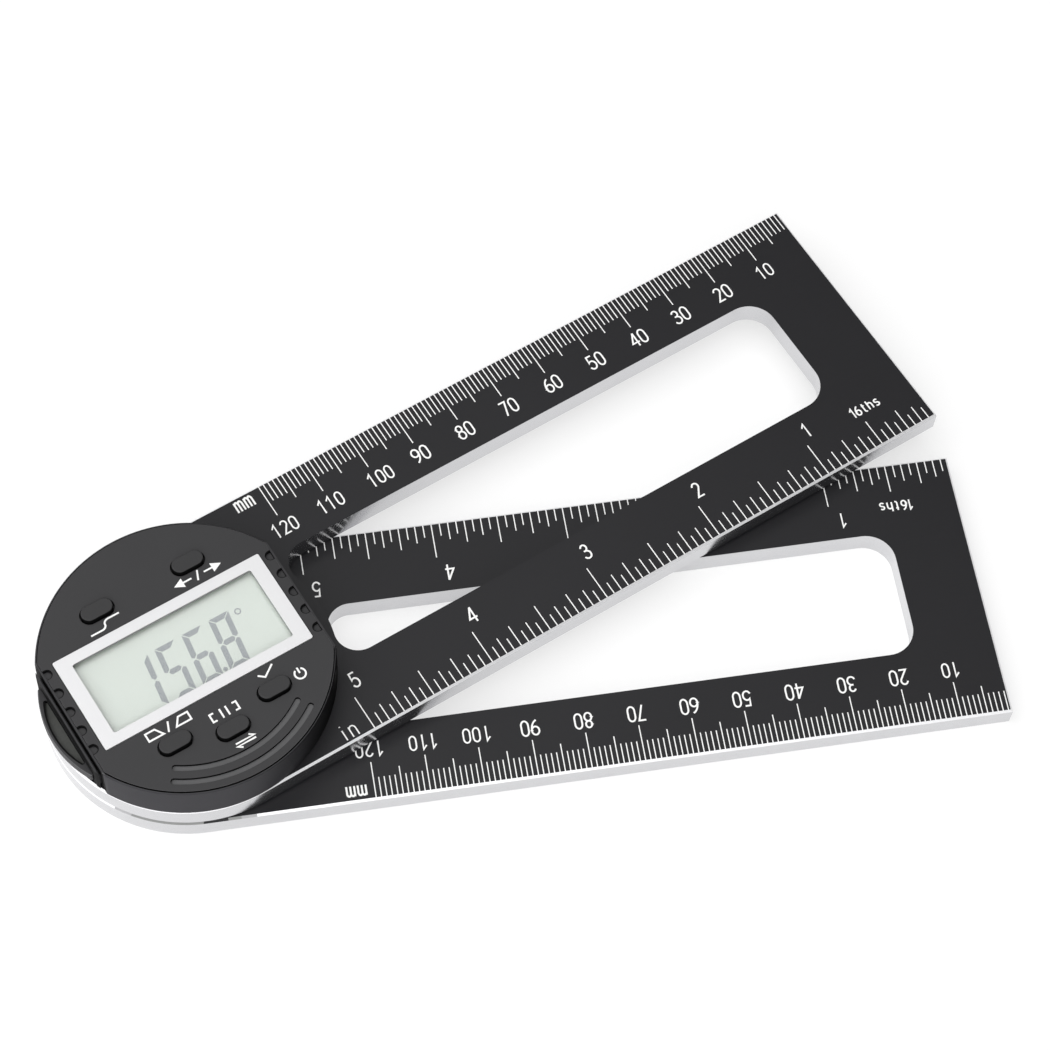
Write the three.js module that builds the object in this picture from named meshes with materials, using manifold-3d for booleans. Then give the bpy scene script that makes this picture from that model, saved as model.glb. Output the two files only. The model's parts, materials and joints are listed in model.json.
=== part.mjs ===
// Digital angle finder: two flat windowed blades on one pivot, with a round display head
// Millimetres, +Z up. The origin is on the pivot axis, at the underside of the lower blade.
// +X runs along the upper blade and the display. The lower blade is turned away from it.
import * as THREE from 'three';
import { mergeVertices } from 'three/addons/utils/BufferGeometryUtils.js';
import Module from 'manifold-3d';

const wasm = await Module();
wasm.setup();

// Clearances and cuts
const overrun = 1; // how far a cutting shape runs past the face that it cuts
const seatGap = 0.1; // round a piece that stays where it is fitted
const slideGap = 0.3; // round a piece that moves
const runningGap = 0.06; // between the hub and its bush

// Facets of round shapes
const headSegments = 72;
const boreSegments = 48;
const smallSegments = 12;
const outlineSegments = 18;
const cornerSegments = 3;

// Blades: both are cut from the same bar
const restOpening = THREE.MathUtils.degToRad(23.05);
const bladeWidth = 54.6;
const bladeReach = 150.65; // pivot axis to the square end
const bladeThickness = 5;
const bladeChamfer = 0.4;
const railWidth = 14.65; // solid bar on each side of the window
const endRail = 14.75; // solid bar past the window
const windowHeadGap = 0.55; // the window's near end follows the head at this distance
const windowHeadCorner = 4.5;
const windowEndCorner = 5.5;
const bladeGap = 0.42; // filled by the thrust washer

// Head: a disc with two flats, on the upper blade
const headHeight = 8.35;
const headFlatDepth = 3.25; // cut off the disc on each side
const headDraft = 0.15; // the wall leans in from the foot to the rim
const headRimWidth = 0.3;
const headRimRound = 0.25;
const headWall = 1.5;
const headFloor = 0.8;
const coverGroove = 0.2; // open joint between the cover and the wall
const coverProud = 0.25; // the cover stands this far above the wall
const coverThickness = 1.2;
const coverBevel = 0.12;

// Hub and bearing, from below
const hubFlangeRadius = 13;
const hubFlangeThickness = 2;
const hubBodyRadius = 8.4;
const journalRadius = 6;
const bladeWeb = 2; // left under the rotor's pocket, which is turned from above
const bushWall = 1.9;
const bushFlangeRadius = 10.2;
const bushFlangeThickness = 0.4;
const thrustWasherInset = 3; // inside the circle of the case screws
const springWasherThickness = 0.3;
const springWasherWave = 0.34; // rise of its waves
const springWasherWaves = 3;
const carrierRadius = 10.6;
const carrierThickness = 0.9;
const carrierBossRadius = 6.4;
const rotorEdgeGap = 1.2; // to the wall of its pocket
const rotorThickness = 0.6;
const hubScrewCircle = 10.6;
const hubScrewCount = 3;
const carrierScrewCircle = 3.9;

// Screws
const smallScrew = { shank: 0.75, head: 1.5, headHeight: 1.1 };
const flatScrew = { shank: 0.8, head: 1.6, headHeight: 0.8, length: 4 };
const driveSlot = { width: 0.4, depth: 0.35, lengthShare: 0.62 };
const caseScrewInset = 4.3; // from the head's foot in to each screw that holds the head together
const caseScrewAngle = THREE.MathUtils.degToRad(46);
const caseScrewBite = 3.4; // thread inside a post of the cover
const caseScrewSink = 0.4; // head below the blade's underside
const coverPostRadius = 1.9;

// Circuit board and what stands on it
const boardLedge = 2.6; // how far the blade carries the board's edge
const boardThickness = 0.8;
const boardScrewInset = 1.3; // from the board's edge
const boardScrewAngle = THREE.MathUtils.degToRad(30);
const boardScrewHead = 0.6;
const boardScrewBite = 2;
const chipSize = 7;
const chipHeight = 1.2;
const chipX = 8;
const chipY = -2;
const chipLeads = 6; // on each side
const chipLead = { width: 0.4, length: 0.8, thickness: 0.2, pitch: 1 };

// Display
const displayY = 1; // the display sits a little above the pivot
const bezelEndMargin = 2.65; // to each flat of the head
const bezelWidth = 19.9;
const bezelCorner = 0.35;
const bezelProud = 0.2;
const bezelEnd = 2.9; // frame at each end
const bezelRail = 2.2; // frame along each side
const apertureCorner = 0.4;
const lensThickness = 0.6;
const lensLap = 1.1; // how far the lens goes under the bezel
const lcdThickness = 1.4;
const lcdEndInset = 1.2; // inside each end of the bezel
const lcdSideInset = 0.05; // inside each side of the bezel
const lcdLedge = 0.45; // the contact ledge moves the glass off the display's centre
const trayWall = 0.9;
const trayFloor = 0.6;
const zebraWidth = 1.2;
const zebraStart = 0;
const zebraLength = 14.5;
const trayLegRadius = 1.4;
const trayLegInset = 2.3; // from the board's edge
const trayLegY = 3.5;

// Buttons
const buttonLength = 6.2;
const buttonWidth = 3.1;
const buttonProud = 1;
const buttonRound = 0.35;
const buttonTravel = 0.6;
const buttonSpare = 0.1; // left above the switch when the button is down
const buttonFlange = 0.6; // how far the flange reaches under the cover
const buttonFlangeThickness = 0.6;
const buttonStemRadius = 1.1;
const upperRowGap = 5; // bezel to the middle of the upper buttons
const upperRowX = 9.43;
const lowerRowGap = 0.05; // switches to the wall of the battery bay
const lowerRowX = 10.19;
const middleButtonDrop = 2.9; // below the two others of its row
const switchLength = 6;
const switchWidth = 3.6;
const switchHeight = 2.6;
const switchPlungerRadius = 0.85;
const switchPlungerHeight = 0.5;

// Marks moulded in the cover
const gripNotches = 5;
const gripPitch = 4.25;
const gripNotchRadius = 0.78;
const gripNotchReach = 1.65;
const gripNotchDepth = 0.6;
const arcRibEdge = 2; // from the cover's edge in to the middle of the outer arc
const arcRibPitch = 2.7;
const arcRibWidth = 0.95;
const arcRibHalfAngle = THREE.MathUtils.degToRad(35.2);
const arcRibDepth = 0.4;

// Battery drawer and its coin cell
const cellRadius = 10;
const cellThickness = 3.2;
const cellCapShare = 0.87; // radius of the smaller pole
const cellCapStep = 0.25;
const drawerFloor = 0.4;
const drawerSide = 0.75;
const drawerPlate = 0.85;
const drawerPlateTop = 17.45;
const drawerTail = 6; // how far the side walls run past the cell's centre
const thumbOverhang = 0.6; // crest of the thumb tab past the head's foot
const thumbRadius = 20.8;
const thumbThickness = 2.1;
const thumbRise = 1.9; // underside of the tab above the blade
const thumbRim = 0.75;
const thumbDishDepth = 0.8;
const thumbTipRound = 0.9;
const contactThickness = 0.2;
const contactWidth = 4;
const contactReach = 4.5;

// Levels, worked out from the sizes above
const upperBladeBase = bladeThickness + bladeGap;
const webTop = upperBladeBase + bladeWeb;
const headBase = upperBladeBase + bladeThickness;
const headTop = headBase + headHeight;
const wallTop = headTop - coverProud;
const boardTop = headBase + boardThickness;
const coverBase = headTop - coverThickness;
const bushTop = webTop + bushFlangeThickness;
const springTop = bushTop + springWasherThickness + springWasherWave;
const carrierBase = springTop + slideGap / 4;
const rotorBase = carrierBase + carrierThickness;
const drawerBase = boardTop + slideGap;
const cellBase = drawerBase + drawerFloor;
const cellTop = cellBase + cellThickness;
const trayBase = cellTop + slideGap;
const lcdBase = trayBase + trayFloor;
const bezelBase = lcdBase + lcdThickness;
const switchTop = boardTop + switchHeight + switchPlungerHeight;
const buttonStemBase = switchTop + buttonTravel + buttonSpare;

// Places in plan, worked out from the sizes above
const halfWidth = bladeWidth / 2;
const windowHalf = halfWidth - railWidth;
const headFootRadius = halfWidth;
const headRimRadius = headFootRadius - headDraft;
const headFlat = headFootRadius - headFlatDepth;
const coverRadius = headRimRadius - headRimWidth - coverGroove;
const windowHeadRadius = headFootRadius + windowHeadGap;
const caseScrewRadius = headFootRadius - caseScrewInset;
const boardRadius = caseScrewRadius - coverPostRadius - slideGap;
const boardScrewRadius = boardRadius - boardScrewInset;
const bladePocketRadius = boardRadius - boardLedge;
const rotorRadius = bladePocketRadius - rotorEdgeGap;
const thrustWasherRadius = caseScrewRadius - thrustWasherInset;
const drawerFront = headFlat + seatGap;
const cellX = -(headFlat - seatGap - drawerSide - seatGap - cellRadius);
const drawerHalf = cellRadius + seatGap + drawerSide + seatGap;
const bayHalf = drawerHalf + slideGap;
const thumbReach = headFootRadius + thumbOverhang;
const bezelLength = 2 * (headFlat - bezelEndMargin);
const apertureLength = bezelLength - 2 * bezelEnd;
const apertureWidth = bezelWidth - 2 * bezelRail;
const lcdLength = bezelLength - 2 * lcdEndInset;
const lcdWidth = bezelWidth - 2 * lcdSideInset;
const lcdY = displayY + lcdLedge;
const zebraLow = lcdY + lcdWidth / 2 - seatGap - 2 * zebraWidth;
const trayLegX = boardRadius - trayLegInset;
const upperRowY = displayY + bezelWidth / 2 + upperRowGap;
const lowerRowY = -(bayHalf + trayWall + seatGap + lowerRowGap + switchWidth / 2);
const middleButtonY = lowerRowY - middleButtonDrop;
const arcRibRadii = [coverRadius - arcRibEdge, coverRadius - arcRibEdge - arcRibPitch];
const bayEnd = cellX + cellRadius + 4 * contactThickness + seatGap;

// A closed mesh with shared vertices becomes a solid that can be joined and cut
function solidOf(geometry) {
  geometry.deleteAttribute('normal');
  geometry.deleteAttribute('uv');
  const merged = mergeVertices(geometry);
  const index = merged.index.array;
  const triangles = [];
  for (let i = 0; i < index.length; i += 3) {
    const [a, b, c] = [index[i], index[i + 1], index[i + 2]];
    if (a !== b && b !== c && c !== a) triangles.push(a, b, c);
  }
  return new wasm.Manifold(new wasm.Mesh({
    numProp: 3,
    vertProperties: new Float32Array(merged.attributes.position.array),
    triVerts: new Uint32Array(triangles),
  }));
}

// A solid becomes a named node with its own colour
function node(name, solid, finish) {
  const mesh = solid.getMesh();
  const geometry = new THREE.BufferGeometry();
  geometry.setAttribute('position', new THREE.BufferAttribute(new Float32Array(mesh.vertProperties), 3));
  geometry.setIndex(new THREE.BufferAttribute(new Uint32Array(mesh.triVerts), 1));
  geometry.computeVertexNormals();
  const material = new THREE.MeshStandardMaterial({ flatShading: true, ...finish });
  const part = new THREE.Mesh(geometry, material);
  part.name = name;
  return part;
}

// A flat shape raised between two levels
function slab(shape, low, high, curveSegments = cornerSegments) {
  const geometry = new THREE.ExtrudeGeometry(shape, { depth: high - low, bevelEnabled: false, curveSegments });
  geometry.translate(0, 0, low);
  return solidOf(geometry);
}

// A flat shape raised between two levels with chamfered upper and lower edges
function chamferedSlab(shape, low, high, chamfer, curveSegments, bevelSegments = 1) {
  const geometry = new THREE.ExtrudeGeometry(shape, {
    depth: high - low - 2 * chamfer,
    bevelEnabled: true,
    bevelThickness: chamfer,
    bevelSize: chamfer,
    bevelOffset: -chamfer,
    bevelSegments,
    curveSegments,
  });
  geometry.translate(0, 0, low + chamfer);
  return solidOf(geometry);
}

// A block given by its limits
function block([x0, x1], [y0, y1], [z0, z1]) {
  const geometry = new THREE.BoxGeometry(x1 - x0, y1 - y0, z1 - z0);
  geometry.translate((x0 + x1) / 2, (y0 + y1) / 2, (z0 + z1) / 2);
  return solidOf(geometry);
}

// A round bar or a hole between two levels
function rod(x, y, radius, low, high, segments = smallSegments) {
  const geometry = new THREE.CylinderGeometry(radius, radius, high - low, segments);
  geometry.rotateX(Math.PI / 2);
  geometry.translate(x, y, (low + high) / 2);
  return solidOf(geometry);
}

// A turned piece: the profile is [radius, height] and closes on the axis
function turned(profile, segments = boreSegments) {
  const points = profile.map(([radius, height]) => new THREE.Vector2(radius, height));
  const geometry = new THREE.LatheGeometry(points, segments);
  geometry.rotateX(Math.PI / 2);
  return solidOf(geometry);
}

// A flat ring
function ring(outer, inner, low, high, segments = boreSegments) {
  return rod(0, 0, outer, low, high, segments)
    .subtract(rod(0, 0, inner, low - overrun, high + overrun, segments));
}

function joined(solids) {
  return solids.reduce((sum, solid) => sum.add(solid));
}

function without(body, cuts) {
  return cuts.reduce((rest, cut) => rest.subtract(cut), body);
}

function onCircle(count, radius, start = 0) {
  return Array.from({ length: count }, (_, i) => {
    const angle = start + (i * 2 * Math.PI) / count;
    return [radius * Math.cos(angle), radius * Math.sin(angle)];
  });
}

function roundedRectangle(x, y, length, width, corner) {
  const [a, b] = [length / 2 - corner, width / 2 - corner];
  const shape = new THREE.Shape();
  shape.absarc(x + a, y - b, corner, -Math.PI / 2, 0, false);
  shape.absarc(x + a, y + b, corner, 0, Math.PI / 2, false);
  shape.absarc(x - a, y + b, corner, Math.PI / 2, Math.PI, false);
  shape.absarc(x - a, y - b, corner, Math.PI, Math.PI * 1.5, false);
  shape.closePath();
  return shape;
}

function stadium(x, y, length, width) {
  const reach = (length - width) / 2;
  const shape = new THREE.Shape();
  shape.absarc(x + reach, y, width / 2, -Math.PI / 2, Math.PI / 2, false);
  shape.absarc(x - reach, y, width / 2, Math.PI / 2, Math.PI * 1.5, false);
  shape.closePath();
  return shape;
}

// A disc with a flat on each side
function flattedDisc(radius, flat) {
  const angle = Math.acos(flat / radius);
  const shape = new THREE.Shape();
  shape.absarc(0, 0, radius, angle, Math.PI - angle, false);
  shape.absarc(0, 0, radius, Math.PI + angle, 2 * Math.PI - angle, false);
  shape.closePath();
  return shape;
}

// Finishes
const blackAnodised = { color: 0x2b2b2e, roughness: 0.45, metalness: 0.7 };
const blackPlastic = { color: 0x2a2a2d, roughness: 0.55, metalness: 0 };
const buttonRubber = { color: 0x1f1f21, roughness: 0.7, metalness: 0 };
const silverPlastic = { color: 0xe4e6e8, roughness: 0.35, metalness: 0.2 };
const steel = { color: 0xb9bcc0, roughness: 0.3, metalness: 1 };
const brass = { color: 0xc9a45a, roughness: 0.35, metalness: 1 };
const nylon = { color: 0xe9e6dc, roughness: 0.6, metalness: 0 };
const boardGreen = { color: 0x1f5a38, roughness: 0.5, metalness: 0.1 };
const chipBlack = { color: 0x18181a, roughness: 0.5, metalness: 0 };
const clearPlastic = { color: 0xf2f6f5, roughness: 0.1, metalness: 0, transparent: true, opacity: 0.35 };
const liquidCrystal = { color: 0xcfd8d0, roughness: 0.3, metalness: 0 };
const conductiveRubber = { color: 0xb9a9a2, roughness: 0.8, metalness: 0 };

// Blades

// The outline is a straight bar with one square end, rounded about the pivot at the other
function bladeOutline() {
  const shape = new THREE.Shape();
  shape.moveTo(0, -halfWidth);
  shape.lineTo(bladeReach, -halfWidth);
  shape.lineTo(bladeReach, halfWidth);
  shape.lineTo(0, halfWidth);
  shape.absarc(0, 0, halfWidth, Math.PI / 2, Math.PI * 1.5, false);
  return shape;
}

// The window's near end follows the head's curve, and blends into the sides by small arcs
function bladeWindow() {
  const cornerY = windowHalf - windowHeadCorner;
  const centreDistance = windowHeadRadius + windowHeadCorner;
  const cornerX = Math.sqrt(centreDistance ** 2 - cornerY ** 2);
  const blend = Math.atan2(cornerY, cornerX);
  const endX = bladeReach - endRail - windowEndCorner;
  const endY = windowHalf - windowEndCorner;
  const shape = new THREE.Shape();
  shape.absarc(endX, -endY, windowEndCorner, -Math.PI / 2, 0, false);
  shape.absarc(endX, endY, windowEndCorner, 0, Math.PI / 2, false);
  shape.absarc(cornerX, cornerY, windowHeadCorner, Math.PI / 2, Math.PI + blend, false);
  shape.absarc(0, 0, windowHeadRadius, blend, -blend, true);
  shape.absarc(cornerX, -cornerY, windowHeadCorner, Math.PI - blend, Math.PI * 1.5, false);
  shape.closePath();
  return shape;
}

function bladeBlank(base) {
  const bar = chamferedSlab(bladeOutline(), base, base + bladeThickness, bladeChamfer, outlineSegments);
  return bar.subtract(slab(bladeWindow(), base - overrun, base + bladeThickness + overrun, cornerSegments + 2));
}

// The cross in a screw's head, which faces down at zero height
function driveCross(headRadius) {
  const long = [-driveSlot.lengthShare * headRadius, driveSlot.lengthShare * headRadius];
  const short = [-driveSlot.width / 2, driveSlot.width / 2];
  const depth = [-overrun, driveSlot.depth];
  return block(long, short, depth).add(block(short, long, depth));
}

// A countersunk screw that points up from its flush head
function countersunkScrew() {
  const { shank, head, headHeight, length } = flatScrew;
  const profile = [[0, 0], [head, 0], [shank, headHeight], [shank, length], [0, length]];
  return turned(profile, smallSegments).subtract(driveCross(head));
}

// A pan screw that points up from its head
function panScrew(head, headHeight, shank, length) {
  const profile = [[0, 0], [head, 0], [head, headHeight], [shank, headHeight], [shank, length], [0, length]];
  return turned(profile, smallSegments).subtract(driveCross(head));
}

// Numbered copies of one fastener, each a node of its own
function copies(name, places, level, solid, finish, tilt = 0) {
  return places.map(([x, y], i) => {
    const copy = node(`${name}_${i + 1}`, solid, finish);
    copy.position.set(x, y, level);
    copy.rotation.x = tilt;
    return copy;
  });
}

// The hole that such a screw needs: a cone for the head and a bore for the shank
function flatScrewHole(x, y, level, direction, depth) {
  const { shank, head, headHeight } = flatScrew;
  const bore = shank + seatGap;
  const mouth = head + seatGap;
  const profile = [[0, -overrun], [mouth, -overrun], [mouth, 0], [bore, headHeight], [bore, depth], [0, depth]];
  const hole = turned(profile, smallSegments);
  const turn = direction > 0 ? hole : hole.rotate([180, 0, 0]);
  return turn.translate([x, y, level]);
}

const hubScrewPlaces = onCircle(hubScrewCount, hubScrewCircle, Math.PI / 2);
const carrierScrewPlaces = onCircle(hubScrewCount, carrierScrewCircle, Math.PI / 2);
const screwHoleDepth = flatScrew.length + seatGap;

function lowerBlade() {
  const cuts = [
    rod(0, 0, hubFlangeRadius + seatGap, -overrun, hubFlangeThickness, boreSegments),
    rod(0, 0, hubBodyRadius + seatGap, -overrun, bladeThickness + overrun, boreSegments),
  ];
  for (const [x, y] of hubScrewPlaces) {
    cuts.push(rod(x, y, flatScrew.shank + seatGap, -overrun, screwHoleDepth));
  }
  return without(bladeBlank(0), cuts);
}

// The hub is one turning: flange, body and journal, with the flange flush underneath
function pivotHub() {
  const profile = [
    [0, 0],
    [hubFlangeRadius, 0],
    [hubFlangeRadius, hubFlangeThickness],
    [hubBodyRadius, hubFlangeThickness],
    [hubBodyRadius, bladeThickness],
    [journalRadius, bladeThickness],
    [journalRadius, carrierBase],
    [0, carrierBase],
  ];
  const cuts = hubScrewPlaces.map(([x, y]) => flatScrewHole(x, y, 0, 1, screwHoleDepth));
  const carrierTop = rotorBase + rotorThickness;
  for (const [x, y] of carrierScrewPlaces) cuts.push(flatScrewHole(x, y, carrierTop, -1, screwHoleDepth));
  return without(turned(profile), cuts);
}

// A wave washer: a thin ring whose height rises and falls round the journal
function springWasher() {
  const outer = bushFlangeRadius - slideGap;
  const inner = journalRadius + slideGap;
  const shape = new THREE.Shape();
  shape.absarc(0, 0, outer, 0, 2 * Math.PI, false);
  const hole = new THREE.Path();
  hole.absarc(0, 0, inner, 0, 2 * Math.PI, true);
  shape.holes.push(hole);
  const geometry = new THREE.ExtrudeGeometry(shape, {
    depth: springWasherThickness, bevelEnabled: false, curveSegments: outlineSegments,
  });
  const places = geometry.attributes.position;
  for (let i = 0; i < places.count; i += 1) {
    const angle = Math.atan2(places.getY(i), places.getX(i));
    const rise = (springWasherWave * (1 + Math.cos(springWasherWaves * angle))) / 2;
    places.setZ(i, bushTop + rise + places.getZ(i));
  }
  return solidOf(geometry);
}

function rotorCarrier() {
  const top = rotorBase + rotorThickness;
  const body = turned([
    [0, carrierBase],
    [carrierRadius, carrierBase],
    [carrierRadius, rotorBase],
    [carrierBossRadius, rotorBase],
    [carrierBossRadius, top],
    [0, top],
  ]);
  return without(body, carrierScrewPlaces.map(([x, y]) => flatScrewHole(x, y, top, -1, screwHoleDepth)));
}

function lowerArm() {
  const arm = new THREE.Group();
  arm.rotation.z = -restOpening;
  const carrierTop = rotorBase + rotorThickness;
  arm.add(node('lower_blade', lowerBlade(), blackAnodised));
  arm.add(node('pivot_hub', pivotHub(), steel));
  arm.add(...copies('hub_screw', hubScrewPlaces, 0, countersunkScrew(), steel));
  arm.add(node('thrust_washer',
    ring(thrustWasherRadius, hubBodyRadius + seatGap, bladeThickness, upperBladeBase), nylon));
  arm.add(node('spring_washer', springWasher(), steel));
  arm.add(node('rotor_carrier', rotorCarrier(), brass));
  arm.add(...copies('rotor_screw', carrierScrewPlaces, carrierTop, countersunkScrew(), steel, Math.PI));
  arm.add(node('rotor_disc',
    ring(rotorRadius, carrierBossRadius + seatGap, rotorBase, rotorBase + rotorThickness), boardGreen));
  return arm;
}

// Upper blade and the head's casing

const caseScrewPlaces = [1, -1].flatMap((sideX) => [1, -1].map((sideY) => [
  sideX * caseScrewRadius * Math.cos(caseScrewAngle),
  sideY * caseScrewRadius * Math.sin(caseScrewAngle),
]));
const boardScrewPlaces = [1, -1].map((side) => [
  boardScrewRadius * Math.cos(boardScrewAngle),
  side * boardScrewRadius * Math.sin(boardScrewAngle),
]);

function upperBlade() {
  const sink = smallScrew.headHeight + caseScrewSink;
  const cuts = [
    rod(0, 0, bladePocketRadius, webTop, headBase + overrun, boreSegments),
    rod(0, 0, journalRadius + runningGap + bushWall + seatGap, upperBladeBase - overrun, webTop + overrun,
      boreSegments),
  ];
  for (const [x, y] of caseScrewPlaces) {
    cuts.push(rod(x, y, smallScrew.shank + slideGap, upperBladeBase - overrun, headBase + overrun));
    cuts.push(rod(x, y, smallScrew.head + slideGap, upperBladeBase - overrun, upperBladeBase + sink));
  }
  for (const [x, y] of boardScrewPlaces) {
    cuts.push(rod(x, y, smallScrew.shank + seatGap, headBase - boardScrewBite - seatGap, headBase + overrun));
  }
  return without(bladeBlank(upperBladeBase), cuts);
}

function pivotBush() {
  const bore = journalRadius + runningGap;
  const body = ring(bore + bushWall, bore, upperBladeBase, bushTop);
  return body.add(ring(bushFlangeRadius, bore, webTop, bushTop));
}

// The outer wall leans in a little from the foot to a rounded rim, and is cut by two flats
function caseBody() {
  const rim = Array.from({ length: cornerSegments + 1 }, (_, i) => {
    const angle = (i * Math.PI) / 2 / cornerSegments;
    return [
      headRimRadius - headRimRound * (1 - Math.cos(angle)),
      wallTop - headRimRound * (1 - Math.sin(angle)),
    ];
  });
  const outer = turned([[0, headBase], [headFootRadius, headBase], ...rim, [0, wallTop]], headSegments);
  const flats = block([-headFlat, headFlat], [-bladeWidth, bladeWidth], [headBase, wallTop]);
  const cuts = [
    slab(flattedDisc(coverRadius - headWall / 2, headFlat - headWall), headBase + headFloor, headTop + overrun,
      outlineSegments),
    rod(0, 0, coverRadius + coverGroove, coverBase, headTop + overrun, headSegments),
    rod(0, 0, boardRadius + slideGap, headBase - overrun, headTop, boreSegments),
    block([-headFlat - overrun, 0], [-bayHalf, bayHalf], [boardTop, trayBase]),
  ];
  for (const [x, y] of caseScrewPlaces) {
    cuts.push(rod(x, y, smallScrew.shank + slideGap, headBase - overrun, boardTop + overrun));
  }
  return without(outer.intersect(flats), cuts);
}

// Cover: a thin plate with the display opening, button holes, two arc ribs and grip notches

const buttonPlaces = {
  button_upper_left: [-upperRowX, upperRowY],
  button_upper_right: [upperRowX, upperRowY],
  button_lower_left: [-lowerRowX, lowerRowY],
  button_lower_middle: [0, middleButtonY],
  button_lower_right: [lowerRowX, lowerRowY],
};

// A sunk arc about the pivot with round ends
function arcRib(radius) {
  const low = -Math.PI / 2 - arcRibHalfAngle;
  const high = -Math.PI / 2 + arcRibHalfAngle;
  const half = arcRibWidth / 2;
  const shape = new THREE.Shape();
  shape.absarc(0, 0, radius + half, low, high, false);
  shape.absarc(radius * Math.cos(high), radius * Math.sin(high), half, high, high + Math.PI, false);
  shape.absarc(0, 0, radius - half, high, low, true);
  shape.absarc(radius * Math.cos(low), radius * Math.sin(low), half, low + Math.PI, low + 2 * Math.PI, false);
  shape.closePath();
  return slab(shape, headTop - arcRibDepth, headTop + overrun, cornerSegments * 2);
}

// Half-round notches in from both flats of the cover
function gripCuts() {
  const cuts = [];
  for (const side of [1, -1]) {
    for (let i = 0; i < gripNotches; i += 1) {
      const y = displayY + (i - (gripNotches - 1) / 2) * gripPitch;
      const inner = headFlat - gripNotchReach + gripNotchRadius;
      const length = gripNotchReach + overrun + gripNotchRadius;
      const x = side * (inner - gripNotchRadius + length / 2);
      cuts.push(slab(stadium(x, y, length, 2 * gripNotchRadius), headTop - gripNotchDepth, headTop + overrun));
    }
  }
  return cuts;
}

function topCover() {
  const plate = turned([
    [0, coverBase],
    [coverRadius, coverBase],
    [coverRadius, headTop - coverBevel],
    [coverRadius - coverBevel, headTop],
    [0, headTop],
  ], headSegments).intersect(block([-headFlat, headFlat], [-bladeWidth, bladeWidth], [coverBase, headTop]));
  const posts = caseScrewPlaces.map(([x, y]) => rod(x, y, coverPostRadius, boardTop, coverBase + overrun / 2));
  const window = roundedRectangle(
    0, displayY, bezelLength + 2 * seatGap, bezelWidth + 2 * seatGap, bezelCorner + seatGap);
  const cuts = [
    slab(window, coverBase - overrun, headTop + overrun),
    ...Object.values(buttonPlaces).map(([x, y]) => slab(
      stadium(x, y, buttonLength + 2 * slideGap, buttonWidth + 2 * slideGap),
      coverBase - overrun, headTop + overrun, cornerSegments + 1)),
    ...caseScrewPlaces.map(([x, y]) => rod(
      x, y, smallScrew.shank + seatGap, boardTop - overrun, boardTop + caseScrewBite + seatGap)),
    ...arcRibRadii.map(arcRib),
    ...gripCuts(),
  ];
  return without(joined([plate, ...posts]), cuts);
}

// Circuit board, switches and contacts

function mainBoard() {
  const cuts = boardScrewPlaces.map(([x, y]) => rod(
    x, y, smallScrew.shank + seatGap, headBase - overrun, boardTop + overrun));
  return without(rod(0, 0, boardRadius, headBase, boardTop, boreSegments), cuts);
}

// The controller is a square package with a row of leads on two sides
function controllerChip() {
  const half = chipSize / 2;
  const parts = [block(
    [chipX - half, chipX + half], [chipY - half, chipY + half],
    [boardTop + chipLead.thickness / 2, boardTop + chipHeight])];
  for (let i = 0; i < chipLeads; i += 1) {
    const x = chipX + (i - (chipLeads - 1) / 2) * chipLead.pitch;
    for (const side of [1, -1]) {
      const inner = chipY + side * (half - chipLead.length / 2);
      const outer = chipY + side * (half + chipLead.length);
      parts.push(block(
        [x - chipLead.width / 2, x + chipLead.width / 2],
        [Math.min(inner, outer), Math.max(inner, outer)],
        [boardTop, boardTop + chipLead.thickness]));
    }
  }
  return joined(parts);
}

function buttonSwitch() {
  const body = slab(
    roundedRectangle(0, 0, switchLength, switchWidth, bezelCorner), boardTop, boardTop + switchHeight, 1);
  return body.add(rod(0, 0, switchPlungerRadius, boardTop + switchHeight - seatGap, switchTop));
}

// The cap is a rounded stadium with a flange that keeps it under the cover and a stem
function buttonCap() {
  const flangeTop = coverBase - slideGap;
  const flangeBase = flangeTop - buttonFlangeThickness;
  const cap = chamferedSlab(
    stadium(0, 0, buttonLength, buttonWidth), flangeBase, headTop + buttonProud, buttonRound,
    cornerSegments + 1, 2);
  const flangeShape = stadium(
    0, 0, buttonLength + 2 * (slideGap + buttonFlange), buttonWidth + 2 * (slideGap + buttonFlange));
  return joined([
    cap,
    slab(flangeShape, flangeBase, flangeTop, cornerSegments),
    rod(0, 0, buttonStemRadius, buttonStemBase, flangeBase + buttonFlangeThickness / 2),
  ]);
}

// The leaf under the cell: a strip that is soldered at one end and arches up to the cell
function lowerContact() {
  const rise = cellBase - boardTop - seatGap;
  const half = contactReach;
  const shape = new THREE.Shape();
  shape.moveTo(-half, 0);
  shape.quadraticCurveTo(0, 2 * (rise - contactThickness), half, 0);
  shape.lineTo(half, contactThickness);
  shape.quadraticCurveTo(0, 2 * (rise - contactThickness) + contactThickness, -half, contactThickness);
  shape.closePath();
  const geometry = new THREE.ExtrudeGeometry(shape, {
    depth: contactWidth, bevelEnabled: false, curveSegments: cornerSegments * 2,
  });
  geometry.rotateX(Math.PI / 2);
  geometry.translate(cellX, contactWidth / 2, boardTop);
  return solidOf(geometry);
}

// The upright strip that the rim of the cell meets at the end of its bay
function sideContact() {
  const near = cellX + cellRadius + slideGap;
  const upright = block(
    [near, near + contactThickness], [-contactWidth, contactWidth], [boardTop, cellTop]);
  const foot = block(
    [near - contactReach / 2, near + contactThickness], [-contactWidth / 4, contactWidth / 4],
    [boardTop, boardTop + contactThickness]);
  return upright.add(foot);
}

// Display

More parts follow.
